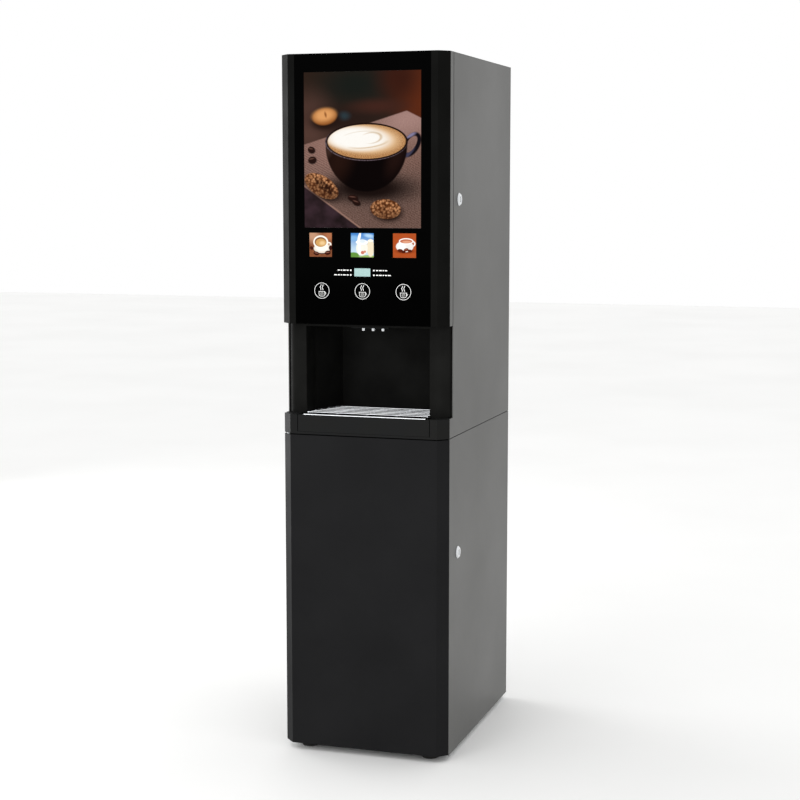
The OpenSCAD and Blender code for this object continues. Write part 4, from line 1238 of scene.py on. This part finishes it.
class VENDING_OT_back_screws(bpy.types.Operator):
    """Drives the screws that hold the two back sheets"""

    bl_idname = "vending.back_screws"
    bl_label = "Drive back screws"

    def execute(self, context):
        marks = context.scene.vending_marks
        bm = bmesh.new()
        for name in ("upper_back", "cabinet_back"):
            lo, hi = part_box(name)
            span = hi.z - lo.z - 2 * SCREW_IN
            for row in range(marks.screws):
                for x in (lo.x + SCREW_IN, hi.x - SCREW_IN):
                    z = lo.z + SCREW_IN + span * row / (marks.screws - 1)
                    socket_screw(bm, Vector((x, hi.y, z)), SCREW_RADIUS, SCREW_HIGH)
        new_piece("back_screws", bm, "case", [plated_screw()])
        return {"FINISHED"}


class VENDING_OT_stage(bpy.types.Operator):
    """Lays the pale floor and sets the lights and the camera"""

    bl_idname = "vending.stage"
    bl_label = "Set stage"

    def execute(self, context):
        stage = context.scene.vending_stage
        bm = bmesh.new()
        bmesh.ops.create_grid(bm, x_segments=1, y_segments=1, size=FLOOR_REACH)
        mesh = bpy.data.meshes.new("floor")
        bm.to_mesh(mesh)
        bm.free()
        floor = bpy.data.objects.new("floor", mesh)
        context.scene.collection.objects.link(floor)
        mesh.materials.append(painted_floor())
        world = bpy.data.worlds.new("studio")
        context.scene.world = world
        world.use_nodes = True
        backing = world.node_tree.nodes["Background"]
        backing.inputs["Color"].default_value = (1, 1, 1, 1)
        backing.inputs["Strength"].default_value = stage.world
        for name, place, aim, wide, power in (
            ("key_light", (-1.1, -3.3, 1.5), (0, -0.2, 0.9), 1.7, stage.key),
            ("rim_light", (-2.6, 0.75, 0.9), (0, -0.1, 0.75), 1.9, stage.rim),
        ):
            light = bpy.data.lights.new(name, "AREA")
            light.size = wide
            light.energy = power
            lamp = bpy.data.objects.new(name, light)
            context.scene.collection.objects.link(lamp)
            lamp.location = place
            lamp.rotation_euler = (Vector(aim) - Vector(place)).to_track_quat("-Z", "Y").to_euler()
        view = bpy.data.cameras.new("camera")
        view.lens = stage.lens
        camera = bpy.data.objects.new("camera", view)
        context.scene.collection.objects.link(camera)
        camera.location = stage.camera_place
        camera.rotation_euler = stage.camera_turn
        context.scene.camera = camera
        context.scene.view_settings.view_transform = "Standard"
        return {"FINISHED"}


STEPS = (
    VENDING_OT_sheets,
    VENDING_OT_mouldings,
    VENDING_OT_metals,
    VENDING_OT_front_art,
    VENDING_OT_key_marks,
    VENDING_OT_label_marks,
    VENDING_OT_seam_seal,
    VENDING_OT_joint_gasket,
    VENDING_OT_back_screws,
    VENDING_OT_stage,
)


class VENDING_PT_panel(bpy.types.Panel):
    """Lists the steps that build the machine's looks"""

    bl_idname = "VENDING_PT_panel"
    bl_label = "Drink vending machine"
    bl_space_type = "VIEW_3D"
    bl_region_type = "UI"
    bl_category = "Vending"

    def draw(self, context):
        for step in STEPS:
            self.layout.operator(step.bl_idname)
        for group in ("vending_finishes", "vending_marks", "vending_stage"):
            settings = getattr(context.scene, group)
            for key in settings.__annotations__:
                self.layout.prop(settings, key)


CLASSES = (VENDING_finishes, VENDING_marks, VENDING_stage, *STEPS, VENDING_PT_panel)


def register():
    for made in CLASSES:
        bpy.utils.register_class(made)
    bpy.types.Scene.vending_finishes = PointerProperty(type=VENDING_finishes)
    bpy.types.Scene.vending_marks = PointerProperty(type=VENDING_marks)
    bpy.types.Scene.vending_stage = PointerProperty(type=VENDING_stage)


def unregister():
    del bpy.types.Scene.vending_stage
    del bpy.types.Scene.vending_marks
    del bpy.types.Scene.vending_finishes
    for made in reversed(CLASSES):
        bpy.utils.unregister_class(made)


def main():
    """Builds every piece in order."""
    register()
    for step in STEPS:
        group, name = step.bl_idname.split(".")
        getattr(getattr(bpy.ops, group), name)()


if __name__ == "__main__":
    main()
